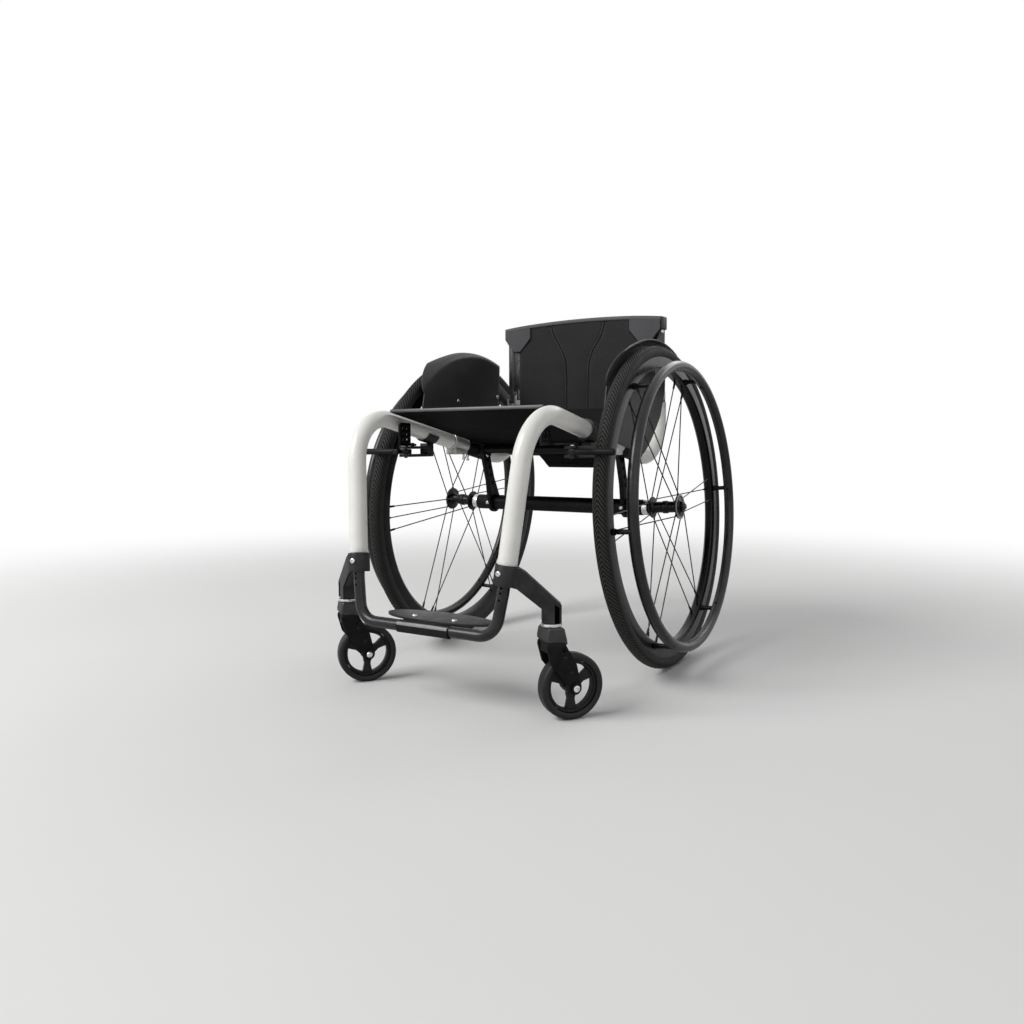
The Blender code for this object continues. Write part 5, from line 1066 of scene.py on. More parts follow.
def addRearWheels():
    half = rimHalf
    centre = wheel["radius"] - wheel["section"]
    bed = wheel["section"] + 0.0002
    rimLine = [(rimInner, -half * 0.55), (rimInner, half * 0.55), (rimInner + wheel["shoulder"], half),
               (centre - bed * math.cos(math.pi / 4) + 0.002, half)]
    rimLine += [(centre - bed * math.cos(turn), bed * math.sin(turn))
                for turn in [math.radians(40 - 80 * step / 8) for step in range(9)]]
    rimLine += [(centre - bed * math.cos(math.pi / 4) + 0.002, -half), (rimInner + wheel["shoulder"], -half)]
    lengths = [0.003, 0.003, 0.003, 0.0008] + [0.0] * 9 + [0.0008, 0.003]
    rimLine = roundedCorners(rimLine, lengths, 3)
    outLow = wheel["hubOuter"] - wheel["flangeThick"] * 2
    outHigh = wheel["hubOuter"] - wheel["flangeThick"]
    inLow = wheel["hubInner"] + wheel["flangeThick"]
    inHigh = wheel["hubInner"] + wheel["flangeThick"] * 2
    hubLine = [(0.0067, wheel["hubInner"]), (wheel["collar"], wheel["hubInner"]), (wheel["collar"], inLow),
               (wheel["innerFlange"], inLow), (wheel["innerFlange"], inHigh),
               (wheel["hubBody"] + 0.002, inHigh),
               (wheel["hubBody"], inHigh + 0.004), (wheel["hubBody"], -0.006),
               (wheel["hubBody"] + 0.0015, -0.004),
               (wheel["hubBody"] + 0.0015, 0.004), (wheel["hubBody"], 0.006),
               (wheel["hubBody"], outLow - 0.005),
               (wheel["hubBody"] + 0.003, outLow), (wheel["flange"], outLow), (wheel["flange"], outHigh),
               (wheel["collar"] + 0.002, outHigh), (wheel["collar"], wheel["hubOuter"]),
               (0.0067, wheel["hubOuter"])]
    hubLine = roundedCorners(hubLine, 0.0007, 2)
    for name, side in sides:
        place = wheelPlace(side)
        body = "rear_wheel_" + name
        pairPiece("rearTyre", treadedTyre(), tyreRubber, name, "rear_tyre", body=body, place=place,
                  smooth=40)
        pairPiece("rearRim", spun(rimLine, 160), blackRim, name, "rear_rim", body=body, place=place)
        pairPiece("rearHub", spun(hubLine, 64), blackRim, name, "rear_hub", body=body, place=place)
        near, far = wheel["flange"] - 0.0028, wheel["flange"] + 0.0006
        foot, top = outHigh - 0.0002, outHigh + 0.0010
        ringLine = roundedCorners([(near, foot), (far, foot), (far, top), (near, top)], 0.0003, 2)
        pairPiece("hubFaceRing", spun(ringLine, 64), greyAnodised, name, body=body, place=place)
        wires, nipples = [], []
        for start, end in spokeLines():
            along = (end - start).normalized()
            wires.append(bar(wheel["spoke"], start - along * 0.001, end, 10, 0))
            nipples.append(bar(0.0019, end - along * 0.016, end - along * 0.0005, 12, 0.0004, 0.0023))
            nipples.append(shifted(spun([(0, 0.0014), (0.0014, 0.0010), (0.0019, 0), (0.0014, -0.0010),
                                         (0, -0.0014)], 12, closed=False), start - along * 0.0005))
        pairPiece("spokes", joined(wires), spokeWire, name, "rear_hub", body=body, place=place)
        pairPiece("spokeNipples", joined(nipples), blackAnodised, name, body=body, place=place)
        turn = (Matrix.Rotation(math.radians(wheel["valveTurn"]), 4, "Z")
                @ Matrix.Rotation(-math.pi / 2, 4, "X"))
        for label, finish in (("valve", greyAnodised), ("valveCap", blackNylon)):
            line = [(radius, rimInner - reach) for radius, reach in wheel[label]]
            pairPiece(label, moved(spun(line, 20, closed=False), turn), finish, name, None, body, place)
        ring = [(handrim["radius"] + x, handrim["offset"] + y)
                for x, y in circlePoints((0, 0), handrim["tube"], 28)]
        pairPiece("handRim", spun(ring, 160), handSatin, name, "handrim", body=body, place=place)
        tabs, bolts = [], []
        for index in range(handrim["tabs"]):
            angle = math.radians(wheel["groupStart"]) + 2 * math.pi * index / handrim["tabs"]
            radius = rimInner + wheel["shoulder"] + handrim["tab"]
            start = polar(radius, angle, rimHalf - 0.0002)
            end = polar(radius, angle, handrim["offset"])
            tabs.append(bar(handrim["tab"], start, end, 24, 0.0004))
            tabs.append(bar(handrim["tab"] + 0.0016, start, start + Vector((0, 0, 0.0035)), 24, 0.0008))
            spot = polar(handrim["radius"] - handrim["tube"] + 0.0004, angle, handrim["offset"])
            bolts.append(buttonScrew(spot, -polar(1, angle, 0), 0.0030, 0.0016))
        pairPiece("handRimTabs", joined(tabs), blackAnodised, name, "handrim", body=body, place=place)
        pairPiece("tabScrews", joined(bolts), blackAnodised, name, body=body, place=place)
    print("rear wheels built")


def addAxles():
    for name, side in sides:
        place = wheelPlace(side)
        endX = bracket["axleTubeEnd"] + 0.0003
        inner = -wheel["plugReach"]
        outer = wheel["hubInner"] - 0.0005
        bore = wheel["pin"] + 0.0004
        size = bracket["axleTube"] - 0.0005
        profile = roundedCorners([(bore, inner), (size, inner), (size, outer - 0.003), (size - 0.0035, outer),
                                  (bore, outer)], 0.0005, 2)
        plug = moved(spun(profile, 48), place)
        whole = plug.verts[:] + plug.edges[:] + plug.faces[:]
        found = bmesh.ops.bisect_plane(plug, geom=whole, plane_co=(side * endX, 0, 0), plane_no=(-side, 0, 0),
                                       clear_outer=True)
        rims = [part for part in found["geom_cut"] if isinstance(part, bmesh.types.BMEdge)]
        bmesh.ops.bridge_loops(plug, edges=rims)
        finishPiece("camberPlug_" + name, plug, brightSteel, "frame", ["camber_plug_" + name])
        face = wheel["hubOuter"] + 0.0005
        top = face + wheel["headThick"]
        hole = wheel["button"] + 0.0004
        pinEnd = -(wheelX - bracket["axleTubeEnd"]) / outward.x + 0.002
        profile = [(0, pinEnd), (wheel["pin"] - 0.0015, pinEnd), (wheel["pin"], pinEnd + 0.0015),
                   (wheel["pin"], face), (wheel["head"] - 0.0004, face), (wheel["head"], face + 0.0004),
                   (wheel["head"], top - 0.0008),
                   (wheel["head"] - 0.0008, top), (hole + 0.0003, top), (hole, top - 0.0003),
                   (hole, top - 0.0090), (0, top - 0.0090)]
        pairPiece("releaseAxle", spun(profile, 48, closed=False), blackRim, name, "quick_release_axle",
                  place=place)
        low = top - 0.0050
        high = top + wheel["buttonStand"]
        size = wheel["button"]
        profile = [(0, low), (size, low), (size, high - 0.0012), (size - 0.0004, high - 0.0004),
                   (size - 0.0012, high), (0, high - 0.0003)]
        pairPiece("releaseButton", spun(profile, 40, closed=False), graphite, name, "release_button",
                  body="release_" + name, place=place)
    print("axles made")


addRearWheels()
addAxles()

# folding back
back = {"cane": 0.011, "caneBottom": 0.532, "caneTop": 0.660, "ear": 0.004, "earRise": 0.010,
        "tongue": 0.0055, "pin": 0.003, "barHeight": 0.548, "bar": 0.007, "barBow": 0.020,
        "barStraight": 0.009, "barRun": 0.030, "barBend": 0.020,
        "fin": [(0.1445, 0.512), (0.1560, 0.512), (0.1560, 0.540), (0.1600, 0.543), (0.1600, 0.640),
                (0.1445, 0.640)], "finThick": 0.0028, "slotX": (0.1506, 0.1524),
        "finSlots": ((0.5985, 0.6130), (0.5830, 0.5970), (0.5140, 0.5360))}


def addBackFrame():
    at = Vector((rail["xRear"], hingeAt.y, hingeAt.z))
    for name, side in sides:
        base = rail["tubeTop"] + rail["gap"]
        inner = back["tongue"] + 0.0006
        outer = inner + back["ear"]
        height = at.z + back["earRise"]
        half = back["cane"]
        ears = []
        for hand in (1, -1):
            outline = [(at.y - half, base), (at.y + half, base)]
            outline += circlePoints((at.y, height - half), half, 14, 0, math.pi)
            ear = moved(cutPlate(outline, [], back["ear"], 0.0008, 2), intoYZ)
            ears.append(shifted(ear, (at.x + hand * (inner + back["ear"] / 2), 0, 0)))
        ears.append(block((at.x - outer, at.y - half, base), (at.x + outer, at.y + half, base + back["ear"]),
                          0.0008))
        pairPiece("hingeBracket", joined(ears), greyAnodised, name, "back_hinge_bracket")
        pin = [bar(back["pin"], at - Vector((outer + 0.0005, 0, 0)), at + Vector((outer + 0.0005, 0, 0)), 24,
                   0.0004),
               buttonScrew(at + Vector((outer, 0, 0)), (1, 0, 0), 0.0042, 0.0022),
               buttonScrew(at - Vector((outer, 0, 0)), (-1, 0, 0), 0.0042, 0.0022)]
        pairPiece("hingePin", joined(pin), brightSteel, name)

        post = bar(back["cane"], (at.x, at.y, back["caneBottom"]), (at.x, at.y, back["caneTop"]), 40, 0.0010)
        heel = back["cane"] - rail["gap"]
        outline = circlePoints((at.y, at.z), heel, 20, math.pi, 2 * math.pi)
        outline += [(at.y + heel, back["caneBottom"] + 0.004), (at.y - heel, back["caneBottom"] + 0.004)]
        tongue = moved(cutPlate(outline, [circlePoints((at.y, at.z), back["pin"] + 0.0004, 20)],
                                back["tongue"] * 2, 0.0006, 2), intoYZ)
        tongue = shifted(tongue, (at.x, 0, 0))
        pairPiece("backCane", joined([post, tongue]), graphite, name, "back_cane", body="backrest")
        # the slotted strip that holds the cloth's edge beside the post
        near, far = back["slotX"]
        openings = [roundedCorners([(near, low), (far, low), (far, high), (near, high)], 0.0008, 2)
                 for low, high in back["finSlots"]]
        strip = moved(cutPlate(roundedCorners(back["fin"], 0.001, 2), openings, back["finThick"], 0.0005),
                      intoXZ)
        shifted(strip, (0, at.y - back["cane"] + 0.0030, 0))
        pairPiece("edgeStrip", strip, graphite, name, body="backrest")
        button = buttonScrew((at.x + back["cane"] * 0.74, at.y - back["cane"] * 0.66, 0.6370),
                             (0.75, -0.66, 0), 0.0042, 0.0030)
        pairPiece("postScrew", button, brightSteel, name, body="backrest")
    end = rail["xRear"] - back["cane"] - rail["gap"]
    start = end - back["barStraight"]
    turn = start - back["barRun"]
    halfPath = [(end, at.y), (start, at.y), (turn, at.y + back["barBow"])]
    points = [Vector((-x, y, back["barHeight"])) for x, y in halfPath]
    points += [Vector((x, y, back["barHeight"])) for x, y in reversed(halfPath)]
    path = roundedPath(points, [back["barBend"]] * 4, 8)
    finishPiece("backBar", sweptTube(evenly(path, 0.012), back["bar"], 32), blackAnodised, "backrest",
                ["back_bar"])
    print("back frame made")


addBackFrame()


# upholstery
panel = {"half": 0.1785, "edge": 0.1460, "corner": 0.666, "crown": 0.0105, "bottom": 0.476, "foot": 0.6150,
         "footEnd": 0.1560, "wingFoot": 0.6420, "thick": 0.006, "sag": 0.010, "between": 0.158,
         "gap": 0.0003, "seams": ([(-0.0720, 0.6720), (-0.0640, 0.6450), (-0.0440, 0.6110),
                                   (-0.0368, 0.5920), (-0.0344, 0.5500), (-0.0344, 0.4760)],
                                  [(0.0540, 0.6660), (0.0450, 0.6360), (0.0262, 0.6110), (0.0175, 0.5870),
                                   (0.0152, 0.5400), (0.0152, 0.4760)]), "twin": 0.0030, "groove": 0.0022,
         "pinch": 0.45, "patchInner": {"left": 0.1105, "right": 0.1180}, "patchKnee": 0.6410,
         "patchTip": {"left": 0.1360, "right": 0.1430}, "patchThick": 0.0014, "hemDeep": 0.0088,
         "hemThick": 0.0008, "pressure": 3.0, "frames": 20, "cap": 0.0016,
         "tail": ((0.0108, -0.0176), (0.0128, -0.0150), (0.0137, -0.0090), (0.0139, 0.0), (0.0128, 0.0072),
                  (0.0085, 0.0122), (0.0010, 0.0142), (-0.0060, 0.0138)), "tailInside": 0.92}


def backTop(x):
    return panel["corner"] + panel["crown"] * (1 - (x / panel["half"]) ** 2)


def backSurface(x):
    dish = max(0.0, 1 - (x / panel["between"]) ** 2)
    return hingeAt.y - back["cane"] - panel["gap"] - panel["thick"] / 2 + panel["sag"] * dish ** 1.5


def lineDistance(places, line):
    # shortest way from each (x, z) place to a bent line
    points = numpy.array(line)
    best = numpy.full(len(places), 9.0)
    for start, end in zip(points, points[1:]):
        span = end - start
        share = numpy.clip(((places - start) @ span) / (span @ span), 0, 1)
        best = numpy.minimum(best, numpy.linalg.norm(places - start - share[:, None] * span, axis=1))
    return best


def seamLines():
    return [[tuple(spot) for spot in roundedCorners(line, 0.06, 6, closed=False)] for line in panel["seams"]]


def panelEdge():
    right = [(panel["edge"], panel["bottom"]), (panel["edge"], panel["foot"]),
             (panel["footEnd"], panel["foot"]), (panel["half"], panel["wingFoot"])]
    top = [(panel["half"] * (1 - step / 20), backTop(panel["half"] * (1 - step / 20))) for step in range(41)]
    return right + top + [(-x, z) for x, z in reversed(right)] + right[:1]


def panelThickness(places):
    # thinner along the twin stitch lines, rounded off at the rim
    near = numpy.minimum(*[lineDistance(places, line) for line in seamLines()])
    rim = lineDistance(places, panelEdge())
    groove = numpy.exp(-((near - panel["twin"]) / panel["groove"]) ** 2)
    round_ = 1 - numpy.minimum(1, rim / 0.0030)
    thick = panel["thick"] * (1 - panel["pinch"] * groove) * (0.25 + 0.75 * numpy.sqrt(1 - round_ ** 2))
    return thick, near, rim


def frontFace(x, z, lift=0.0):
    thick = panelThickness(numpy.array([(x, z)]))[0][0]
    return Vector((x, backSurface(x) - thick / 2 - lift, z))


def inflated(bm, held):
    # Blender's Cloth puffs the closed form up between its seams; no point moves farther than the cap
    mesh = bpy.data.meshes.new("stuffing")
    bm.to_mesh(mesh)
    trial = bpy.data.objects.new("stuffing", mesh)
    bpy.context.scene.collection.objects.link(trial)
    trial.vertex_groups.new(name="held").add(held, 1.0, "REPLACE")
    cloth = trial.modifiers.new("stuffing", "CLOTH")
    settings = cloth.settings
    settings.quality = 4
    settings.vertex_group_mass = "held"
    settings.use_pressure = True
    settings.uniform_pressure_force = panel["pressure"]
    settings.effector_weights.gravity = 0
    for step in range(1, panel["frames"] + 1):
        bpy.context.scene.frame_set(step)
    settled = trial.evaluated_get(bpy.context.evaluated_depsgraph_get()).to_mesh()
    farthest = 0.0
    for vert, found in zip(bm.verts, settled.vertices):
        move = found.co - vert.co
        farthest = max(farthest, move.length)
        if move.length > panel["cap"]:
            move *= panel["cap"] / move.length
        vert.co += move
    bpy.data.objects.remove(trial)
    bpy.data.meshes.remove(mesh)
    bpy.context.scene.frame_set(1)
    print("cloth settled, farthest point %.4f m" % farthest)
    return bm


def layCloth(bm, around=0.0):
    # the weave's own UV in metres; around takes in the depth too, where cloth goes round a post
    layer = bm.loops.layers.uv.new("cloth")
    for face in bm.faces:
        for loop in face.loops:
            loop[layer].uv = (loop.vert.co.x + around * loop.vert.co.y, loop.vert.co.z)
    return bm


def addPanel():
    edge = panel["edge"]
    # columns stand closer where the seams run
    stops = ((-panel["half"], 11), (-edge, 18), (-0.078, 27), (-0.028, 9), (0.008, 29), (0.062, 21),
             (edge, 11), (panel["half"], 0))
    columns = []
    for (start, count), (end, last) in zip(stops, stops[1:]):
        columns += [start + (end - start) * step / count for step in range(count)]
    columns.append(panel["half"])
    low, high = 46, 18
    bm = bmesh.new()
    bmesh.ops.create_grid(bm, x_segments=len(columns) - 1, y_segments=low + high, size=0.5)
    spare = []
    for vert in bm.verts:
        x = columns[round((vert.co.x + 0.5) * (len(columns) - 1))]
        row = round((vert.co.y + 0.5) * (low + high))
        out = max(0.0, abs(x) - panel["footEnd"]) / (panel["half"] - panel["footEnd"])
        foot = panel["foot"] + (panel["wingFoot"] - panel["foot"]) * out
        if row < low:
            z = panel["bottom"] + (foot - panel["bottom"]) * row / low
            if abs(x) > edge + 1e-6:
                spare.append(vert)
        else:
            z = foot + (backTop(x) - 0.0012 - foot) * (row - low) / high
        vert.co = Vector((x, 0, z))
    bmesh.ops.delete(bm, geom=spare, context="VERTS")
    fresh = set(vertsOf(bmesh.ops.extrude_face_region(bm, geom=bm.faces[:])))
    places = numpy.array([(vert.co.x, vert.co.z) for vert in bm.verts])
    thick, near, rim = panelThickness(places)
    patch = ((numpy.abs(places[:, 0]) > panel["patchInner"]["left"] - 0.004)
             & (places[:, 1] > panel["foot"] - 0.006))
    bm.verts.index_update()
    for vert, size, far in zip(bm.verts, thick, rim):
        x, z = vert.co.x, vert.co.z
        ripple = (0.0007 * noise.noise((x * 11, z * 16, 2.0))
                  + 0.0003 * noise.noise((x * 30 + z * 22, z * 9, 5.0)))
        half = size / 2 if vert in fresh else -size / 2
        vert.co.y = backSurface(x) + ripple * min(1.0, far / 0.03) + half
    held = [int(index) for index in numpy.nonzero((near < 0.0046) | (rim < 0.0040) | patch)[0]]
    bmesh.ops.recalc_face_normals(bm, faces=bm.faces)
    piece = finishPiece("backPanel", layCloth(inflated(bm, held)), backCloth, "backrest",
                        ["back_upholstery"], smooth=180)
    finer = piece.modifiers.new("finer", "SUBSURF")
    finer.levels = finer.render_levels = 1


def addPatches():
    front = panel["thick"] / 2 + 0.0009
    for name, side in sides:
        bm = bmesh.new()
        bmesh.ops.create_grid(bm, x_segments=28, y_segments=28, size=0.5)
        for vert in bm.verts:
            across, up = vert.co.x + 0.5, vert.co.y + 0.5
            z = panel["foot"] + (panel["corner"] - panel["foot"]) * up
            knee = min(1.0, (z - panel["foot"]) / (panel["patchKnee"] - panel["foot"]))
            inner = panel["patchTip"][name] + (panel["patchInner"][name] - panel["patchTip"][name]) * knee
            wing = min(1.0, (z - panel["foot"]) / (panel["wingFoot"] - panel["foot"]))
            outer = panel["footEnd"] + (panel["half"] - 0.0006 - panel["footEnd"]) * wing
            x = inner + (outer - inner) * across
            z = panel["foot"] + (backTop(x) - 0.0016 - panel["foot"]) * up
            vert.co = Vector((x, backSurface(x) - front, z))
        bmesh.ops.recalc_face_normals(bm, faces=bm.faces)
        piece = finishPiece("cornerPatch_" + name, layCloth(flipped(bm, side)), patchCloth, "backrest")
        solidWall(piece, panel["patchThick"])
        # the patch's tail, wrapped round the post's outer side
        at = Vector((rail["xRear"], hingeAt.y))
        outer = [at + Vector(spot) for spot in panel["tail"]]
        inner = [at + Vector(spot) * panel["tailInside"] for spot in reversed(panel["tail"])]
        outline = roundedCorners([tuple(spot) for spot in outer + inner], 0.0006, 2)
        top = panel["corner"] - 0.0010
        tail = cutPlate(outline, [], top - panel["wingFoot"], 0.0003, 1)
        shifted(tail, (0, 0, (top + panel["wingFoot"]) / 2))
        layCloth(tail, 1.0)
        pairPiece("patchTail", tail, patchCloth, name, body="backrest", smooth=50)


def addHem():
    reach = panel["thick"] / 2 + 0.0017
    deep = panel["hemDeep"]
    section = [(-reach + 0.0008, -deep), (-reach, -deep * 0.72), (-reach, -0.0034), (-reach * 0.85, -0.0014),
               (-reach * 0.45, -0.0003), (0.0, 0.0), (reach * 0.45, -0.0003), (reach * 0.85, -0.0014),
               (reach, -0.0034), (reach, -deep * 0.72), (reach - 0.0008, -deep)]
    bm = bmesh.new()
    bmesh.ops.create_grid(bm, x_segments=160, y_segments=len(section) - 1, size=0.5)
    layer = bm.loops.layers.uv.new("cloth")
    for vert in bm.verts:
        x = vert.co.x * 2 * (panel["half"] + 0.0004)
        away, drop = section[round((vert.co.y + 0.5) * (len(section) - 1))]
        flat = drop if away < 0 else -drop
        for loop in vert.link_loops:
            loop[layer].uv = (x, flat)
        vert.co = Vector((x, backSurface(x) + away, backTop(x) + drop))
    bmesh.ops.recalc_face_normals(bm, faces=bm.faces)
    piece = finishPiece("topBinding", bm, bindingTape, "backrest")
    solidWall(piece, panel["hemThick"], -1)


def alongLine(line, pitch):
    points = [Vector(point) for point in line]
    travelled = 0.0
    for start, end in zip(points, points[1:]):
        length = (end - start).length
        while travelled < length:
            yield start.lerp(end, travelled / length), (end - start).normalized()
            travelled += pitch
        travelled -= length


def patchBorder(name, inset):
    inner, tip = panel["patchInner"][name] + inset, panel["patchTip"][name] + inset * 0.7
    line = [(inner, panel["corner"] + 0.001), (inner, panel["patchKnee"] + inset * 0.5),
            (tip, panel["foot"] + inset), (panel["footEnd"] - inset * 0.7, panel["foot"] + inset),
            (panel["half"] - inset * 1.4, panel["wingFoot"] + inset * 0.5)]
    side = 1 if name == "left" else -1
    return [(side * x, z) for x, z in line]


def addSeamShade():
    # a thin dark cord of painted shade lies in each seam's groove, and one of painted shadow along each
    # patch's border
    shadeCords = []
    lines = [(line, -0.0003, 0.0008) for line in seamLines()]
    lines += [(patchBorder(name, -0.0003), 0.0009, 0.0008) for name, side in sides]
    for line, lift, radius in lines:
        path = [frontFace(place.x, place.y, lift) for place, along in alongLine(line, 0.0030)
                if place.y < backTop(place.x) - 0.004 and place.y > panel["bottom"] + 0.0015]
        shadeCords.append(sweptTube(path, radius, 8))
    finishPiece("seamCords", joined(shadeCords), seamShade, "backrest", smooth=80)


def addStitches():
    rows = []
    for line in seamLines():
        for shift in (panel["twin"], -panel["twin"]):
            rows.append(([tuple(place + Vector((-along.y, along.x)) * shift)
                          for place, along in alongLine(line, 0.002)], 0.0002))
    hemLow = [(x / 500, backTop(x / 500) - panel["hemDeep"] + 0.0020) for x in range(-88, 89)]
    rows.append((hemLow, 0.0019))
    rows += [(patchBorder(name, 0.0026), 0.0016) for name, side in sides]
    stitches = []
    for line, lift in rows:
        for place, along in alongLine(line, 0.0040):
            if panel["bottom"] + 0.004 < place.y < backTop(place.x) - 0.002:
                start = frontFace(place.x, place.y, lift)
                end = frontFace(place.x + along.x * 0.0026, place.y + along.y * 0.0026, lift)
                stitches.append(bar(0.00032, start, end, 6, 0))
    finishPiece("backStitching", joined(stitches), threadWithHighlight, "backrest", smooth=60)


flap = {"topHalf": 0.140, "top": 0.490, "knee": 0.412, "shoulder": 0.392, "shoulderHalf": 0.0906,
        "bottom": 0.367, "bottomHalf": 0.066, "thick": 0.0016, "wave": 0.0009, "hem": 0.0095}


def flapHalf(z):
    if z > flap["knee"]:
        return flap["topHalf"]
    if z > flap["shoulder"]:
        share = (z - flap["shoulder"]) / (flap["knee"] - flap["shoulder"])
        return flap["shoulderHalf"] + (flap["topHalf"] - flap["shoulderHalf"]) * share
    share = (z - flap["bottom"]) / (flap["shoulder"] - flap["bottom"])
    return flap["bottomHalf"] + (flap["shoulderHalf"] - flap["bottomHalf"]) * share


def addFlap():
    # a flat cut of cloth hung behind the seat, with a folded hem along its lower edge
    front = axleY + seat["rear"] + rail["gap"] + 0.0021

    def hung(x, z):
        low = (flap["top"] - z) / (flap["top"] - flap["bottom"])
        return front + flap["wave"] * low * noise.noise((x * 18, z * 9, 1.0)) * 1.6

    cloth = bmesh.new()
    bmesh.ops.create_grid(cloth, x_segments=84, y_segments=42, size=0.5)
    for vert in cloth.verts:
        z = flap["bottom"] + (flap["top"] - flap["bottom"]) * (vert.co.y + 0.5)
        x = flapHalf(z) * vert.co.x * 2
        vert.co = Vector((x, hung(x, z), z))
    hem = bmesh.new()
    bmesh.ops.create_grid(hem, x_segments=60, y_segments=4, size=0.5)
    for vert in hem.verts:
        z = flap["bottom"] - 0.0004 + flap["hem"] * (vert.co.y + 0.5)
        x = flapHalf(z) * vert.co.x * 2
        vert.co = Vector((x, hung(x, z) - 0.0014, z))
    for name, bm, thick, nodes in (("backFlap", cloth, flap["thick"], ["back_flap"]),
                                   ("flapHem", hem, 0.0010, [])):
        bmesh.ops.recalc_face_normals(bm, faces=bm.faces)
        piece = finishPiece(name, layCloth(bm), flapCloth, "frame", nodes, smooth=60)
        solidWall(piece, thick)


addPanel()
addPatches()
addHem()
addSeamShade()
addStitches()
addFlap()
print("upholstery sewn")

# brakes
brake = {"bandStart": -0.2200, "bandEnd": -0.1900, "wall": 0.0035, "knuckleHalf": 0.0045, "knuckle": 0.0105,
         "plate": 0.005, "plateHalf": 0.012, "pin": 0.003, "bar": 0.0055, "barEnd": 0.252, "leverX": 0.142,
         "leverBack": -0.323, "leverLength": 0.030, "leverTop": 0.454, "leverThick": 0.004, "eye": 0.007,
         "hole": 0.003, "holeFirst": 0.0075, "holePitch": 0.0095, "hanger": 0.009, "barForward": 0.016,
         "bandFrom": 84.0, "bandTurn": 263.0}
brakeAt = Vector(joints["brake_left_release"]["pos_m"])
leverAt = Vector(joints["brake_left_lever"]["pos_m"])


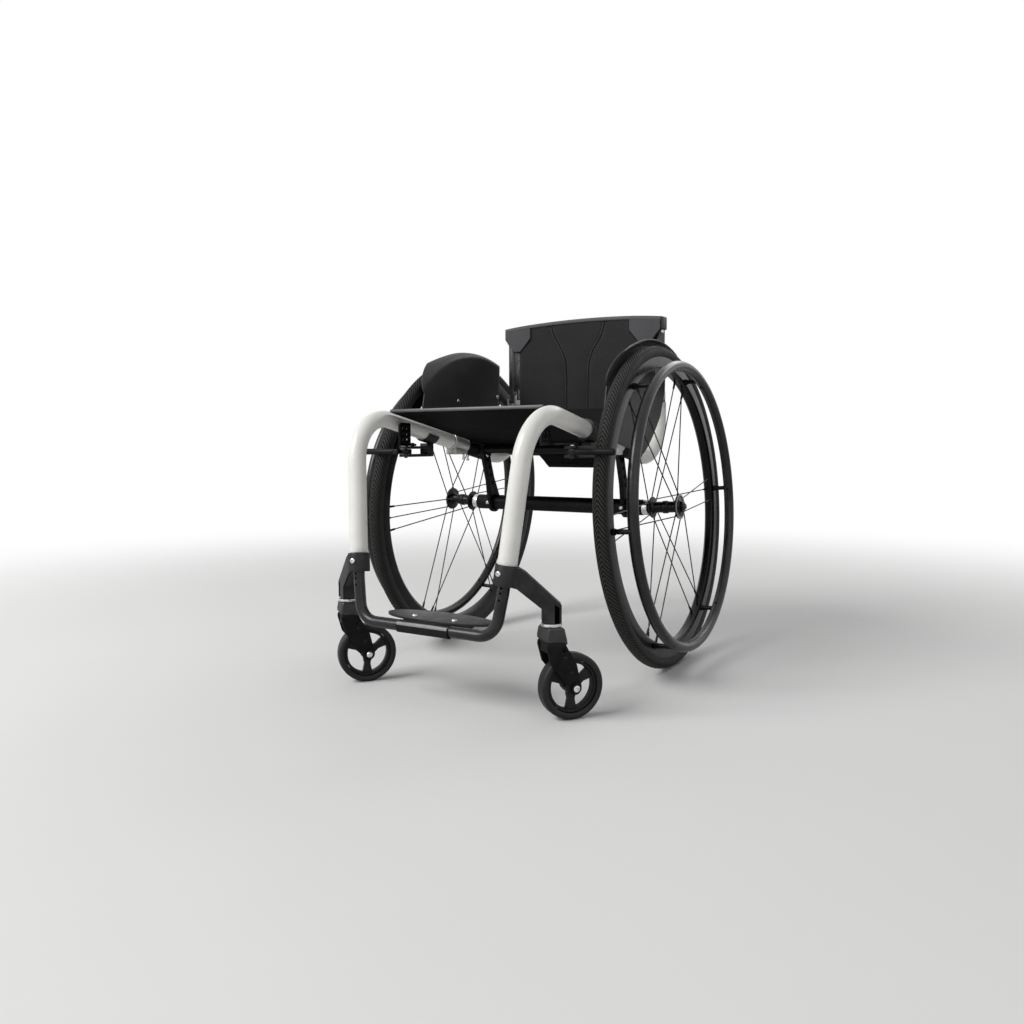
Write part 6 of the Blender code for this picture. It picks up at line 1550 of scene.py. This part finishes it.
def addBrakes():
    high = brakeAt.z + brake["knuckleHalf"] + 0.0003
    low = brakeAt.z - brake["knuckleHalf"] - 0.0003
    start = railPoint(brake["bandStart"])
    end = railPoint(brake["bandEnd"])
    barY = brakeAt.y - brake["barForward"]
    for name, side in sides:
        inner = rail["radius"] + 0.0002
        outer = rail["radius"] + brake["wall"]
        length = (end - start).length
        # the band is open over the tube's inner top, where the seat's edge lies
        arc = [math.radians(brake["bandFrom"] + brake["bandTurn"] * step / 36) for step in range(37)]
        outline = [(outer * math.cos(turn), outer * math.sin(turn)) for turn in arc]
        outline += [(inner * math.cos(turn), inner * math.sin(turn)) for turn in reversed(arc)]
        band = shifted(cutPlate(outline, [], length, 0.0006), (0, 0, length / 2))
        moved(band, axesAt(start, end - start))
        hangerTop = min(start.z, end.z) - rail["radius"] - 0.001
        hanger = block((brakeAt.x - brake["hanger"], start.y + 0.004, low - brake["plate"]),
                       (brakeAt.x + brake["hanger"], end.y - 0.006, hangerTop), 0.0015, 2)
        parts = [band, hanger]
        for bottom in (high, low - brake["plate"]):
            half = brake["plateHalf"]
            outline = [(brakeAt.x - half, start.y + 0.012)]
            outline += circlePoints((brakeAt.x, brakeAt.y), half, 18, math.pi, 2 * math.pi)
            outline += [(brakeAt.x + half, start.y + 0.012)]
            cheek = cutPlate(outline, [], brake["plate"], 0.0008, 2)
            parts.append(shifted(cheek, (0, 0, bottom + brake["plate"] / 2)))
        pairPiece("brakeMount", joined(parts), castCharcoal, name, "brake_mount")
        bolt = buttonScrew((brakeAt.x, brakeAt.y, high + brake["plate"]), (0, 0, 1), 0.0042, 0.0020)
        pins = [bar(brake["pin"], (brakeAt.x, brakeAt.y, low - brake["plate"] - 0.002),
                    (brakeAt.x, brakeAt.y, high + brake["plate"]), 24, 0.0004),
                buttonScrew((leverAt.x, leverAt.y, high + brake["plate"] + brake["leverThick"] + 0.0004),
                            (0, 0, 1), 0.0036, 0.0018),
                bar(brake["pin"], (leverAt.x, leverAt.y, high + 0.004),
                    (leverAt.x, leverAt.y, high + brake["plate"] + brake["leverThick"] + 0.0010), 24, 0.0003)]
        pairPiece("brakePins", joined(pins), blackRim, name)
        pairPiece("brakeBolt", bolt, brightSteel, name)

        eye = cutPlate(circlePoints((brakeAt.x, brakeAt.y), brake["knuckle"], 32),
                       [circlePoints((brakeAt.x, brakeAt.y), brake["pin"] + 0.0004, 20)],
                       brake["knuckleHalf"] * 2, 0.0008, 2)
        shifted(eye, (0, 0, brakeAt.z))
        neck = block((brakeAt.x + 0.004, barY - brake["knuckleHalf"], brakeAt.z - brake["knuckleHalf"]),
                     (brakeAt.x + 0.016, brakeAt.y + brake["knuckleHalf"], brakeAt.z + brake["knuckleHalf"]),
                     0.0010)
        roller = bar(brake["bar"], (brakeAt.x + 0.014, barY, brakeAt.z), (brake["barEnd"], barY, brakeAt.z),
                     36, 0.0012)
        pairPiece("brakeArm", joined([eye, neck, roller]), blackAnodised, name, "brake_arm",
                  body="brake_arm_" + name)

        base = brakeAt.z + brake["knuckleHalf"] + 0.0006 + brake["plate"]
        tipY = axleY + brake["leverBack"]
        nearY = tipY + brake["leverLength"]
        inside = brake["leverX"] - brake["leverThick"] / 2
        outside = brake["leverX"] + brake["leverThick"] / 2
        outline = circlePoints((leverAt.x, leverAt.y), brake["eye"], 16, math.radians(-30), math.radians(150))
        outline += [(inside, nearY), (inside, tipY), (outside, tipY), (outside + 0.006, nearY)]
        bore = circlePoints((leverAt.x, leverAt.y), brake["pin"] + 0.0004, 20)
        link = cutPlate(roundedCorners(outline, 0.001, 2), [bore], brake["leverThick"], 0.0006, 2)
        shifted(link, (0, 0, base + brake["leverThick"] / 2))
        holes = []
        for row in range(3):
            for column in (0.3, 0.7):
                height = base + brake["leverThick"] + brake["holeFirst"] + brake["holePitch"] * row
                spot = (tipY + brake["leverLength"] * column, height)
                holes.append(circlePoints(spot, brake["hole"], 16))
        outline = roundedCorners([(tipY, base + 0.001), (nearY, base + 0.001), (nearY, brake["leverTop"]),
                                  (tipY, brake["leverTop"])], [0.001, 0.001, 0.004, 0.004], 4)
        paddle = cutPlate(outline, holes, brake["leverThick"], 0.0005, 2)
        shifted(moved(paddle, intoYZ), (brake["leverX"], 0, 0))
        pairPiece("brakeLever", joined([link, paddle]), blackAnodised, name, "brake_lever",
                  body="brake_lever_" + name)
    print("brakes made")


addBrakes()
